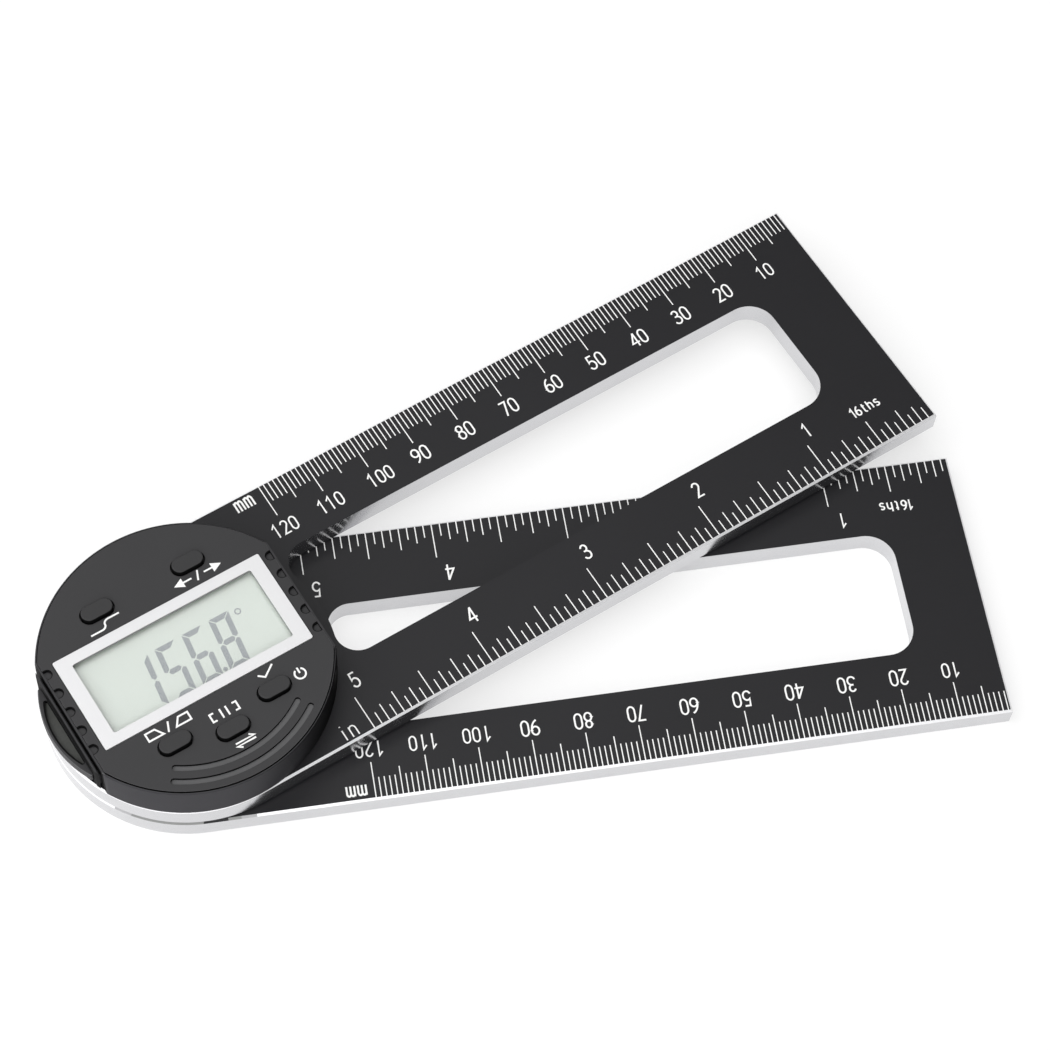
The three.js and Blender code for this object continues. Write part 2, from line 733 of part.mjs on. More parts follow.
// The tray holds the glass over the battery bay, and stands on the board with its bay walls and legs
function displayTray() {
  const halfLength = lcdLength / 2 + seatGap + trayWall;
  const low = lcdY - lcdWidth / 2 - seatGap - trayWall;
  const high = lcdY + lcdWidth / 2 + seatGap + trayWall;
  const plan = [[-halfLength, halfLength], [low, high]];
  const wall = trayWall + seatGap;
  const bayWallStart = -(boardRadius - 2 * trayWall);
  const parts = [
    block(...plan, [trayBase, bezelBase]),
    block([bayWallStart, bayEnd + wall], [-bayHalf - wall, bayHalf + wall], [boardTop, trayBase])
      .subtract(block([bayWallStart - overrun, bayEnd], [-bayHalf, bayHalf],
        [boardTop - overrun, trayBase + overrun])),
    rod(trayLegX, trayLegY, trayLegRadius, boardTop, lcdBase),
    rod(trayLegX, -trayLegY, trayLegRadius, boardTop, lcdBase),
  ];
  const pocket = block(
    [-lcdLength / 2 - seatGap, lcdLength / 2 + seatGap],
    [lcdY - lcdWidth / 2 - seatGap, lcdY + lcdWidth / 2 + seatGap],
    [lcdBase, bezelBase + overrun]);
  const slot = block(
    [zebraStart - seatGap, zebraStart + zebraLength + seatGap],
    [zebraLow - seatGap, zebraLow + zebraWidth + seatGap],
    [trayBase - overrun, lcdBase + overrun]);
  return without(joined(parts), [pocket, slot]);
}

function displayBezel() {
  const lens = lensShape(seatGap);
  return without(
    slab(roundedRectangle(0, displayY, bezelLength, bezelWidth, bezelCorner), bezelBase, headTop + bezelProud),
    [
      slab(roundedRectangle(0, displayY, apertureLength, apertureWidth, apertureCorner),
        bezelBase - overrun, headTop + overrun),
      slab(lens, bezelBase - overrun, bezelBase + lensThickness + seatGap),
    ]);
}

function lensShape(extra) {
  return roundedRectangle(
    0, displayY,
    apertureLength + 2 * (lensLap + extra), apertureWidth + 2 * (lensLap + extra), apertureCorner + extra);
}

// Battery drawer

// A tray for the cell behind a front plate, with a dished thumb tab shaped as a segment
function batteryDrawer() {
  const pocketRadius = cellRadius + seatGap;
  const plateRadius = headRimRadius;
  const back = cellX + drawerTail;
  const tray = block([-drawerFront - drawerPlate / 2, back], [-drawerHalf, drawerHalf], [drawerBase, cellTop]);
  const cuts = [
    rod(cellX, 0, pocketRadius, cellBase, cellTop + overrun, boreSegments),
    block([cellX, back + overrun], [-contactReach, contactReach], [drawerBase - overrun, cellBase + overrun]),
    rod(cellX, 0, contactReach + contactWidth / 2, drawerBase - overrun, cellBase + overrun, smallSegments * 2),
  ];
  const plateBox = block(
    [-drawerFront - drawerPlate, -drawerFront], [-bladeWidth, bladeWidth],
    [headBase + slideGap, drawerPlateTop]);
  const plate = rod(0, 0, plateRadius, headBase, headTop, headSegments).intersect(plateBox);
  return joined([without(tray, cuts), plate, thumbTab()]);
}

function thumbTab() {
  const centre = thumbRadius - thumbReach;
  const inner = drawerFront + drawerPlate / 2;
  const low = headBase + thumbRise;
  const high = low + thumbThickness;
  const segment = (radius, straight, tip) => {
    const half = Math.sqrt((radius - tip) ** 2 - (straight + centre + tip) ** 2);
    const blend = Math.atan2(half, straight + centre + tip);
    const shape = new THREE.Shape();
    shape.absarc(centre, 0, radius, Math.PI - blend, Math.PI + blend, false);
    shape.absarc(-straight - tip, -half, tip, Math.PI + blend, 2 * Math.PI, false);
    shape.absarc(-straight - tip, half, tip, 0, Math.PI - blend, false);
    shape.closePath();
    return shape;
  };
  const body = slab(segment(thumbRadius, inner, thumbTipRound), low, high, cornerSegments * 3);
  const dishStart = drawerFront + drawerPlate + thumbRim / 2;
  const dish = slab(
    segment(thumbRadius - thumbRim, dishStart, thumbTipRound / 3), high - thumbDishDepth, high + overrun,
    cornerSegments * 3);
  return body.subtract(dish);
}

// A coin cell: a can with a smaller raised pole on the underside
function coinCell() {
  const pole = cellRadius * cellCapShare;
  return turned([
    [0, cellBase],
    [pole, cellBase],
    [pole, cellBase + cellCapStep],
    [cellRadius - cellCapStep, cellBase + cellCapStep],
    [cellRadius, cellBase + 2 * cellCapStep],
    [cellRadius, cellTop - cellCapStep / 2],
    [cellRadius - cellCapStep / 2, cellTop],
    [0, cellTop],
  ]);
}

function upperArm() {
  const arm = new THREE.Group();
  arm.add(node('upper_blade', upperBlade(), blackAnodised));
  arm.add(node('pivot_bush', pivotBush(), brass));
  arm.add(node('case_body', caseBody(), blackPlastic));
  const caseScrewBase = upperBladeBase + caseScrewSink;
  const caseScrewLength = boardTop + caseScrewBite - caseScrewBase;
  const caseScrew = panScrew(smallScrew.head, smallScrew.headHeight, smallScrew.shank, caseScrewLength);
  arm.add(...copies('case_screw', caseScrewPlaces, caseScrewBase, caseScrew, steel));
  arm.add(node('top_cover', topCover(), blackPlastic));
  arm.add(node('main_board', mainBoard(), boardGreen));
  const boardScrewTop = boardTop + boardScrewHead;
  const boardScrewLength = boardScrewTop - headBase + boardScrewBite;
  const boardScrew = panScrew(smallScrew.head, boardScrewHead, smallScrew.shank, boardScrewLength);
  arm.add(...copies('board_screw', boardScrewPlaces, boardScrewTop, boardScrew, steel, Math.PI));
  arm.add(node('controller_chip', controllerChip(), chipBlack));
  arm.add(node('lower_contact', lowerContact(), brass));
  arm.add(node('side_contact', sideContact(), brass));
  arm.add(node('display_tray', displayTray(), nylon));
  arm.add(node('zebra_strip', block(
    [zebraStart, zebraStart + zebraLength], [zebraLow, zebraLow + zebraWidth], [boardTop, lcdBase],
  ), conductiveRubber));
  arm.add(node('lcd_panel', block(
    [-lcdLength / 2, lcdLength / 2], [lcdY - lcdWidth / 2, lcdY + lcdWidth / 2], [lcdBase, bezelBase],
  ), liquidCrystal));
  arm.add(node('display_lens', slab(lensShape(0), bezelBase, bezelBase + lensThickness), clearPlastic));
  arm.add(node('display_bezel', displayBezel(), silverPlastic));
  for (const [name, [x, y]] of Object.entries(buttonPlaces)) {
    const button = node(name, buttonCap(), buttonRubber);
    const contact = node(name.replace('button', 'switch'), buttonSwitch(), chipBlack);
    button.position.set(x, y, 0);
    contact.position.set(x, y, 0);
    arm.add(button, contact);
  }
  const drawer = new THREE.Group();
  const cell = node('coin_cell', coinCell(), steel);
  cell.position.set(cellX, 0, 0);
  drawer.add(node('battery_drawer', batteryDrawer(), blackPlastic), cell);
  arm.add(drawer);
  return arm;
}

const angleFinder = new THREE.Group();
angleFinder.add(lowerArm(), upperArm());

export default angleFinder;
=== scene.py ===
"""Looks of a digital angle finder: two windowed rule blades on one pivot, under a round display head.

Lengths are in millimetres until they reach Blender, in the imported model's own frame: the origin is
on the pivot at the underside of the lower blade, +X runs along the upper blade, and +Z points up.
"""
import json
import logging
import math
from dataclasses import dataclass, field, replace
from enum import Enum
from typing import Callable, Sequence

import bpy
from mathutils import Euler, Matrix, Vector


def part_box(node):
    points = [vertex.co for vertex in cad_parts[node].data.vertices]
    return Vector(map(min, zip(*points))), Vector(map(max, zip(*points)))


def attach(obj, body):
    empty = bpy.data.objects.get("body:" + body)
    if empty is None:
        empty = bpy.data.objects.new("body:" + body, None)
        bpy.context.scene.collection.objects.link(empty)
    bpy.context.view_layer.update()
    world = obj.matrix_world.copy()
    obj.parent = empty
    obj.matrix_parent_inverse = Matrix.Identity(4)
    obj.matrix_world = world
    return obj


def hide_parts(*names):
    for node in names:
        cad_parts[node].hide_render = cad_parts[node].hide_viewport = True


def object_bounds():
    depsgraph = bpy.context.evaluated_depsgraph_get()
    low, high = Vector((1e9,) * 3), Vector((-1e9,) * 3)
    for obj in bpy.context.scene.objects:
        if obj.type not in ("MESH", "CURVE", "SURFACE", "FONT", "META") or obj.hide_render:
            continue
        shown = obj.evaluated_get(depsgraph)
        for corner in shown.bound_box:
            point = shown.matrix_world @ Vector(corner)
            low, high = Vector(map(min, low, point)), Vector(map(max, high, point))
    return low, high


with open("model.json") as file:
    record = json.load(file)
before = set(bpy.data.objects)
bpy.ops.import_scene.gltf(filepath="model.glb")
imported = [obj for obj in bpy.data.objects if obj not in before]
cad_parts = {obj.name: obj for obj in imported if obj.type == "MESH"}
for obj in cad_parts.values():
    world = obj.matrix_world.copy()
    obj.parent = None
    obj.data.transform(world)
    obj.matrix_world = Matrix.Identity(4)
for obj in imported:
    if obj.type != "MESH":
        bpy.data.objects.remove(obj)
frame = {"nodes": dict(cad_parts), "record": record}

CAD_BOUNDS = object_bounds()
MM = 0.001
INCH = 25.4
# How far a cutter reaches past what it cuts, in millimetres
OVERRUN = 1.0
# In metres: points closer than these are merged, count as one, and lie at the same place
WELD, TINY, NEAR = 1e-7, 1e-6, 1e-5
# Part of a normal along one axis: of a flat face, a nearly flat one, a slanted one and an upright one
FLAT, LEVEL, SLANT, UPRIGHT = 0.99, 0.9, 0.35, 0.3
# Facets of a long arc, of a round tip and of a small corner
ARC_STEPS, TIP_STEPS, CORNER_STEPS = 64, 12, 6

log = logging.getLogger("angle_finder")

Point = tuple[float, float]
Colour = tuple[float, float, float]
Value = float | tuple[float, ...] | bpy.types.NodeSocket


class Body(str, Enum):
    """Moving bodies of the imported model."""

    LOWER = "lower_arm"
    UPPER = "upper_arm"
    HOLDER = "battery_holder"


class Slot(str, Enum):
    """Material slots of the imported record."""

    BLADE = "anodised_black"
    STEEL = "steel"
    CELL = "cell_steel"
    BRASS = "brass"
    NYLON = "nylon"
    BOARD = "circuit_board"
    CASE = "case_plastic"
    BUTTON = "button_rubber"
    CHIP = "component_black"
    BEZEL = "bezel_silver"
    LENS = "lens_clear"
    CRYSTAL = "liquid_crystal"
    ZEBRA = "conductive_rubber"


@dataclass(frozen=True)
class Box:
    """The box of a CAD node at rest, in millimetres.

    Attributes:
        low: Its lowest corner.
        high: Its highest corner.
    """

    low: Vector
    high: Vector

    @classmethod
    def of(cls, node: str) -> "Box":
        """The box of the node with this name."""
        return cls(*(Vector(corner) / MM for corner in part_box(node)))

    @property
    def centre(self) -> Point:
        """Its middle, seen from above."""
        return ((self.low.x + self.high.x) / 2, (self.low.y + self.high.y) / 2)

    @property
    def size(self) -> Point:
        """Its length and width, seen from above."""
        return (self.high.x - self.low.x, self.high.y - self.low.y)


def rest_opening() -> float:
    """How far the lower arm is turned clockwise from the upper one at rest, in radians."""
    edge = next(m for m in frame["record"]["mounts"] if m["name"] == "lower_arm_edge")
    return math.atan2(-edge["axis"][0], -edge["axis"][1])


# Modelling by hand


def only(obj: bpy.types.Object) -> None:
    """Selects one object and nothing else, and makes it active.

    Args:
        obj: The object to work on.
    """
    bpy.ops.object.select_all(action="DESELECT")
    obj.select_set(True)
    bpy.context.view_layer.objects.active = obj


def edit(obj: bpy.types.Object, kind: str = "VERT", everything: bool = False) -> None:
    """Opens an object in edit mode.

    Args:
        obj: The object to open.
        kind: VERT, EDGE or FACE, the kind of element that is selected.
        everything: Whether all of it is selected, or nothing.
    """
    only(obj)
    bpy.ops.object.mode_set(mode="EDIT")
    bpy.ops.mesh.select_mode(type=kind)
    bpy.ops.mesh.select_all(action="SELECT" if everything else "DESELECT")


def close() -> None:
    """Leaves edit mode."""
    bpy.ops.object.mode_set(mode="OBJECT")


def named(name: str) -> bpy.types.Object:
    """Gives the new primitive its name and applies its place.

    Args:
        name: The piece's name.

    Returns:
        The object that was just added.
    """
    obj = bpy.context.active_object
    obj.name = name
    obj.data.name = name
    only(obj)
    bpy.ops.object.transform_apply(location=True, rotation=True, scale=True)
    return obj


def choose_edges(obj: bpy.types.Object, test: Callable[[Vector, Vector], bool]) -> None:
    """Opens an object in edit mode with some of its edges selected.

    Args:
        obj: The object, in object mode.
        test: Takes the two ends of an edge, in metres, and says whether it is wanted.
    """
    edit(obj, "EDGE")
    close()
    for line in obj.data.edges:
        line.select = test(*(obj.data.vertices[i].co for i in line.vertices))
    bpy.ops.object.mode_set(mode="EDIT")


def at_height(height: float) -> Callable[[Vector, Vector], bool]:
    """A test for the edges that lie at one height, in millimetres."""
    return lambda a, b: abs(a.z - height * MM) < TINY and abs(b.z - height * MM) < TINY


def raise_up(obj: bpy.types.Object, height: float) -> bpy.types.Object:
    """Extrudes a flat piece upwards into a closed solid.

    Args:
        obj: A flat mesh.
        height: How far it is raised, in millimetres.

    Returns:
        The same object.
    """
    edit(obj, everything=True)
    bpy.ops.mesh.extrude_region_move(TRANSFORM_OT_translate={"value": (0, 0, height * MM)})
    bpy.ops.mesh.select_all(action="SELECT")
    bpy.ops.mesh.normals_make_consistent(inside=False)
    close()
    return obj


def circle(name: str, radius: float, level: float, at: Point = (0, 0), sides: int = 256) -> bpy.types.Object:
    """A flat round face.

    Args:
        name: The piece's name.
        radius: Its radius.
        level: Its height.
        at: Its centre.
        sides: The number of its sides.

    Returns:
        The new object.
    """
    bpy.ops.object.select_all(action="DESELECT")
    bpy.ops.mesh.primitive_circle_add(
        vertices=sides, radius=radius * MM, fill_type="NGON", location=(at[0] * MM, at[1] * MM, level * MM)
    )
    return named(name)


def disc(
    name: str, radius: float, low: float, high: float, at: Point = (0, 0), sides: int = 256
) -> bpy.types.Object:
    """A round plate between the levels low and high; the rest is as for a circle."""
    return raise_up(circle(name, radius, low, at, sides), high - low)


def rounded_plate(
    name: str, centre: Point, size: Point, corner: float, low: float, high: float, steps: int = 8
) -> bpy.types.Object:
    """A rectangular plate with round corners between two levels.

    Args:
        name: The piece's name.
        centre: Its centre.
        size: Its length and width.
        corner: The corners' radius.
        low: Its underside.
        high: Its top.
        steps: Facets of each corner.

    Returns:
        The new object.
    """
    bpy.ops.object.select_all(action="DESELECT")
    bpy.ops.mesh.primitive_plane_add(size=1, location=(centre[0] * MM, centre[1] * MM, low * MM))
    bpy.context.active_object.scale = (size[0] * MM, size[1] * MM, 1)
    obj = named(name)
    if corner > 0:
        edit(obj, everything=True)
        bpy.ops.mesh.bevel(offset=corner * MM, segments=steps, affect="VERTICES", clamp_overlap=True)
        bpy.ops.mesh.select_all(action="SELECT")
        bpy.ops.mesh.remove_doubles(threshold=WELD)
        close()
    return raise_up(obj, high - low)


def meshed(
    name: str, corners: Sequence[tuple[float, float, float]], faces: Sequence[tuple[int, ...]]
) -> bpy.types.Object:
    """An object from its corners and faces, for shapes that no primitive gives.

    Args:
        name: The piece's name.
        corners: The corners, in millimetres.
        faces: Each face's corners, by number.

    Returns:
        The new object.
    """
    mesh = bpy.data.meshes.new(name)
    mesh.from_pydata([tuple(v * MM for v in corner) for corner in corners], [], faces)
    obj = bpy.data.objects.new(name, mesh)
    bpy.context.scene.collection.objects.link(obj)
    return obj


def outlined(name: str, outline: Sequence[Point], low: float, high: float) -> bpy.types.Object:
    """A plate with this outline between the levels low and high."""
    flat = meshed(name, [(x, y, low) for x, y in outline], [tuple(range(len(outline)))])
    return raise_up(flat, high - low)


def arc(centre: Point, radius: float, start: float, end: float, steps: int) -> list[Point]:
    """Points along an arc with this many facets, both ends included; its angles are in radians."""
    angles = (start + (end - start) * i / steps for i in range(steps + 1))
    return [(centre[0] + radius * math.cos(a), centre[1] + radius * math.sin(a)) for a in angles]


def modify(obj: bpy.types.Object, kind: str, **values: object) -> None:
    """Adds a modifier and applies it.

    Args:
        obj: The object.
        kind: The modifier's type.
        values: Its settings.
    """
    only(obj)
    modifier = obj.modifiers.new(kind.lower(), kind)
    for key, value in values.items():
        setattr(modifier, key, value)
    bpy.ops.object.modifier_apply(modifier=modifier.name)


def combine(obj: bpy.types.Object, operation: str, *tools: bpy.types.Object) -> bpy.types.Object:
    """Cuts or joins an object with others, which are used up.

    Args:
        obj: The object that stays.
        operation: DIFFERENCE, UNION or INTERSECT.
        tools: The others.

    Returns:
        The object.
    """
    for tool in tools:
        modify(obj, "BOOLEAN", operation=operation, solver="EXACT", object=tool)
        bpy.data.objects.remove(tool)
    return obj


def soften(obj: bpy.types.Object, width: float, steps: int = 2, angle: float = 40.0) -> bpy.types.Object:
    """Rounds an object's sharp edges a little.

    Args:
        obj: The object.
        width: The radius.
        steps: Facets across the rounding.
        angle: Edges sharper than this many degrees are rounded.

    Returns:
        The object.
    """
    modify(
        obj, "BEVEL", width=width * MM, segments=steps, limit_method="ANGLE",
        angle_limit=math.radians(angle), use_clamp_overlap=True, harden_normals=False,
    )
    return obj


def slice_off(
    obj: bpy.types.Object, place_at: float, side: int = 1, fill: bool = True, clear: bool = True
) -> bpy.types.Object:
    """Cuts an object at a plane across X.

    Args:
        obj: The object.
        place_at: Where the plane lies, in millimetres.
        side: Which side is the outer one, 1 for +X and -1 for -X.
        fill: Whether the cut is closed.
        clear: Whether what lies on the outer side is removed.

    Returns:
        The object.
    """
    edit(obj, everything=True)
    bpy.ops.mesh.bisect(
        plane_co=(place_at * MM, 0, 0), plane_no=(side, 0, 0), use_fill=fill, clear_outer=clear,
        threshold=WELD,
    )
    close()
    return obj


def cut_flats(obj: bpy.types.Object, flat: float) -> bpy.types.Object:
    """Cuts an object off at both of the head's flats, this far from the pivot axis."""
    return slice_off(slice_off(obj, flat, 1), -flat, -1)


def smooth(obj: bpy.types.Object, angle: float = 30.0) -> bpy.types.Object:
    """Shades an object smooth, apart from its sharper edges, with its large faces kept flat.

    Args:
        obj: The object.
        angle: Edges sharper than this many degrees stay sharp.

    Returns:
        The object.
    """
    only(obj)
    bpy.ops.object.shade_smooth_by_angle(angle=math.radians(angle))
    modify(obj, "WEIGHTED_NORMAL", mode="FACE_AREA", weight=100, keep_sharp=True)
    return obj


def turned(obj: bpy.types.Object, angle: float) -> bpy.types.Object:
    """Turns a piece's mesh about the pivot axis, by an angle in radians."""
    obj.data.transform(Matrix.Rotation(angle, 4, "Z"))
    return obj


def joined(name: str, pieces: Sequence[bpy.types.Object]) -> bpy.types.Object:
    """Puts several pieces in one object.

    Args:
        name: The new name.
        pieces: The pieces, which are used up.

    Returns:
        The one object.
    """
    bpy.ops.object.select_all(action="DESELECT")
    for piece in pieces:
        piece.select_set(True)
    bpy.context.view_layer.objects.active = pieces[0]
    if len(pieces) > 1:
        bpy.ops.object.join()
    return named(name)


# Lettering

# How far every second stroke stands above the others, in millimetres, so that no two share a plane
STAGGER = 1e-3
# Where half a corner's turn has a cosine below this, its mitre grows no longer
SHARPEST = 0.45


def bow(centre: Point, reach: Point, start: float, end: float, steps: int = 12) -> list[Point]:
    """Points along part of an oval of this half width and half height; its angles are in degrees."""
    unit = arc((0, 0), 1, math.radians(start), math.radians(end), steps)
    return [(centre[0] + x * reach[0], centre[1] + y * reach[1]) for x, y in unit]


@dataclass(frozen=True)
class Glyph:
    """One figure or letter as the middle lines of its strokes, one unit high.

    Attributes:
        width: Its width.
        lines: Open strokes.
        loops: Closed strokes.
    """

    width: float
    lines: tuple[Sequence[Point], ...] = ()
    loops: tuple[Sequence[Point], ...] = ()

    def half_turned(self) -> "Glyph":
        """The glyph turned half a turn.

        Returns:
            The turned glyph.
        """

        def turn(strokes: tuple[Sequence[Point], ...]) -> tuple[Sequence[Point], ...]:
            """Turns its strokes."""
            return tuple([(self.width - x, 1 - y) for x, y in stroke] for stroke in strokes)

        return Glyph(self.width, turn(self.lines), turn(self.loops))


def oval(centre: Point, reach: Point, straight: float = 0.0) -> list[Point]:
    """A closed oval, with straight sides if wanted.

    Args:
        centre: Its centre.
        reach: Half its width and half its height.
        straight: Half the length of the straight sides.

    Returns:
        Its points.
    """
    round_part = (reach[0], reach[1] - straight)
    top = bow((centre[0], centre[1] + straight), round_part, 0, 180)
    return top + bow((centre[0], centre[1] - straight), round_part, 180, 360)[: None if straight else -1]


SIX = Glyph(0.46, (bow((0.48, 0.29), (0.48, 0.73), 180, 106, 8),), (oval((0.23, 0.28), (0.23, 0.28)),))

GLYPHS: dict[str, Glyph] = {
    "0": Glyph(0.44, loops=(oval((0.22, 0.5), (0.22, 0.5), 0.2),)),
    "1": Glyph(0.0, (((-0.23, 0.75), (0.0, 1.03), (0.0, -0.05)),)),
    "2": Glyph(0.44, (bow((0.21, 0.76), (0.21, 0.24), 172, -32) + [(0.0, 0.0), (0.45, 0.0)],)),
    "3": Glyph(
        0.44,
        (
            bow((0.2, 0.775), (0.19, 0.225), 162, -90) + [(0.1, 0.55)],
            [(0.12, 0.55)] + bow((0.2, 0.275), (0.24, 0.275), 90, -160),
        ),
    ),
    "4": Glyph(0.52, (((0.37, -0.05), (0.37, 1.0)), ((0.37, 1.0), (0.0, 0.26), (0.52, 0.26)))),
    "5": Glyph(0.44, ([(0.4, 1.0), (0.07, 1.0), (0.04, 0.53)] + bow((0.2, 0.31), (0.24, 0.31), 118, -158),)),
    "6": SIX,
    "7": Glyph(0.44, (((0.0, 1.0), (0.44, 1.0), (0.13, -0.05)),)),
    "8": Glyph(0.44, loops=(oval((0.22, 0.775), (0.19, 0.225)), oval((0.22, 0.275), (0.22, 0.275)))),
    "9": SIX.half_turned(),
    "i": Glyph(0.0, (((0.0, 0.0), (0.0, 0.7)), ((0.0, 0.94), (0.0, 1.0)))),
    "n": Glyph(0.38, (((0.0, 0.0), (0.0, 0.7)), bow((0.19, 0.47), (0.19, 0.23), 180, 0) + [(0.38, 0.0)])),
    "m": Glyph(
        0.8,
        (
            ((0.0, 0.0), (0.0, 1.0)),
            bow((0.2, 0.7), (0.2, 0.26), 180, 0) + [(0.4, 0.0)],
            bow((0.6, 0.7), (0.2, 0.26), 180, 0) + [(0.8, 0.0)],
        ),
    ),
    "t": Glyph(
        0.3,
        (
            [(0.1, 0.95)] + bow((0.26, 0.16), (0.16, 0.16), 180, 270, 6) + [(0.3, 0.0)],
            ((0.0, 0.7), (0.26, 0.7)),
        ),
    ),
    "h": Glyph(0.42, (((0.0, 0.0), (0.0, 1.0)), bow((0.21, 0.46), (0.21, 0.24), 180, 0) + [(0.42, 0.0)])),
    "s": Glyph(
        0.4,
        (
            bow((0.2, 0.53), (0.18, 0.17), 30, 260, 8) + bow((0.2, 0.18), (0.2, 0.18), 80, -150, 8),
        ),
    ),
}


def ribbon(points: Sequence[Point], width: float, closed: bool) -> tuple[list[Point], list[tuple[int, ...]]]:
    """A flat ribbon along a line, with mitred corners.

    Args:
        points: The line.
        width: The ribbon's width.
        closed: Whether the last point joins the first.

    Returns:
        The ribbon's corners and its faces.
    """
    path = [Vector(p) for p in points]
    count = len(path)
    corners: list[Point] = []
    for i, point in enumerate(path):
        before = path[i - 1] if i or closed else None
        after = path[(i + 1) % count] if i + 1 < count or closed else None
        into = (point - before).normalized() if before is not None else None
        out = (after - point).normalized() if after is not None else None
        along = ((into or out) + (out or into)).normalized()
        across = Vector((-along.y, along.x))
        lean = abs(along.dot(out or into))
        offset = across * width / 2 / max(lean, SHARPEST)
        corners += [tuple(point + offset), tuple(point - offset)]
    last = count if closed else count - 1
    faces = [(2 * i, 2 * i + 1, (2 * i + 3) % (2 * count), (2 * i + 2) % (2 * count)) for i in range(last)]
    return corners, faces


def lettering(
    name: str, text: str, height: float, width: float | None, at: Point, level: float,
    thickness: float, upside_down: bool = False, stroke: float = 0.112, gap: float = 0.2,
    cell: float | None = None,
) -> bpy.types.Object:
    """Printed figures, drawn stroke by stroke and stretched to their measured size.

    Args:
        name: The piece's name.
        text: What it says.
        height: The height of the whole text.
        width: Its width, or None to keep the figures' own proportion.
        at: The middle of the text.
        level: The surface that it is printed on.
        thickness: How thick the print is.
        upside_down: Whether the text is turned half a turn.
        stroke: The strokes' width, as a share of the height between their middle lines.
        gap: The clear space between two glyphs, on the same scale.
        cell: Where the glyphs are evenly spaced, the width that each one has, on the same scale.

    Returns:
        The new object.
    """
    corners: list[tuple[float, float, float]] = []
    faces: list[tuple[int, ...]] = []
    left = 0.0
    lift = 0
    for letter in text:
        glyph = GLYPHS[letter]
        strokes = [(line, False) for line in glyph.lines] + [(loop, True) for loop in glyph.loops]
        for points, closed in strokes:
            start = len(corners)
            inset = 0.0 if cell is None else (cell - glyph.width) / 2
            placed = [(left + inset + x, y) for x, y in points]
            new_corners, new_faces = ribbon(placed, stroke, closed)
            corners += [(x, y, lift * STAGGER) for x, y in new_corners]
            faces += [tuple(start + i for i in face) for face in new_faces]
            lift = 1 - lift
        left += glyph.width + gap + stroke if cell is None else cell
    low = Vector([min(c[i] for c in corners) for i in range(2)])
    high = Vector([max(c[i] for c in corners) for i in range(2)])
    up = height / (high.y - low.y)
    along = up if width is None else width / (high.x - low.x)
    turn = -1 if upside_down else 1
    middle = (low + high) / 2
    if cell is not None:
        middle.x = left / 2
    printed = [
        (at[0] + turn * along * (x - middle.x), at[1] + turn * up * (y - middle.y), level + z)
        for x, y, z in corners
    ]
    return raise_up(meshed(name, printed, faces), thickness)


# Finishes


def feed(node: bpy.types.Node, sockets: dict[str | int, Value]) -> None:
    """Sets a node's inputs.

    Args:
        node: The node.
        sockets: For each input, by name or number, its value or the output that feeds it.
    """
    for key, value in sockets.items():
        if isinstance(value, bpy.types.NodeSocket):
            node.id_data.links.new(value, node.inputs[key])
        else:
            node.inputs[key].default_value = value


def shader(
    tree: bpy.types.NodeTree, kind: str, sockets: dict[str | int, Value], output: str | int = 0,
    **settings: str,
) -> bpy.types.NodeSocket:
    """Adds a node to a material or a world.

    Args:
        tree: The tree that gets the node.
        kind: The node's type, without the prefix.
        sockets: Its inputs, as in feed.
        output: The output that is wanted, by name or number.
        settings: The node's own settings.

    Returns:
        That output.
    """
    node = tree.nodes.new(f"ShaderNode{kind}")
    for key, value in settings.items():
        setattr(node, key, value)
    feed(node, sockets)
    return node.outputs[output]


def blended(
    tree: bpy.types.NodeTree, share: bpy.types.NodeSocket, first: Value, second: Value
) -> bpy.types.NodeSocket:
    """A colour between two others; share says how far it is from the first to the second."""
    sockets = {"Factor": share, "A": first, "B": second}
    return shader(tree, "Mix", sockets, "Result", data_type="RGBA")


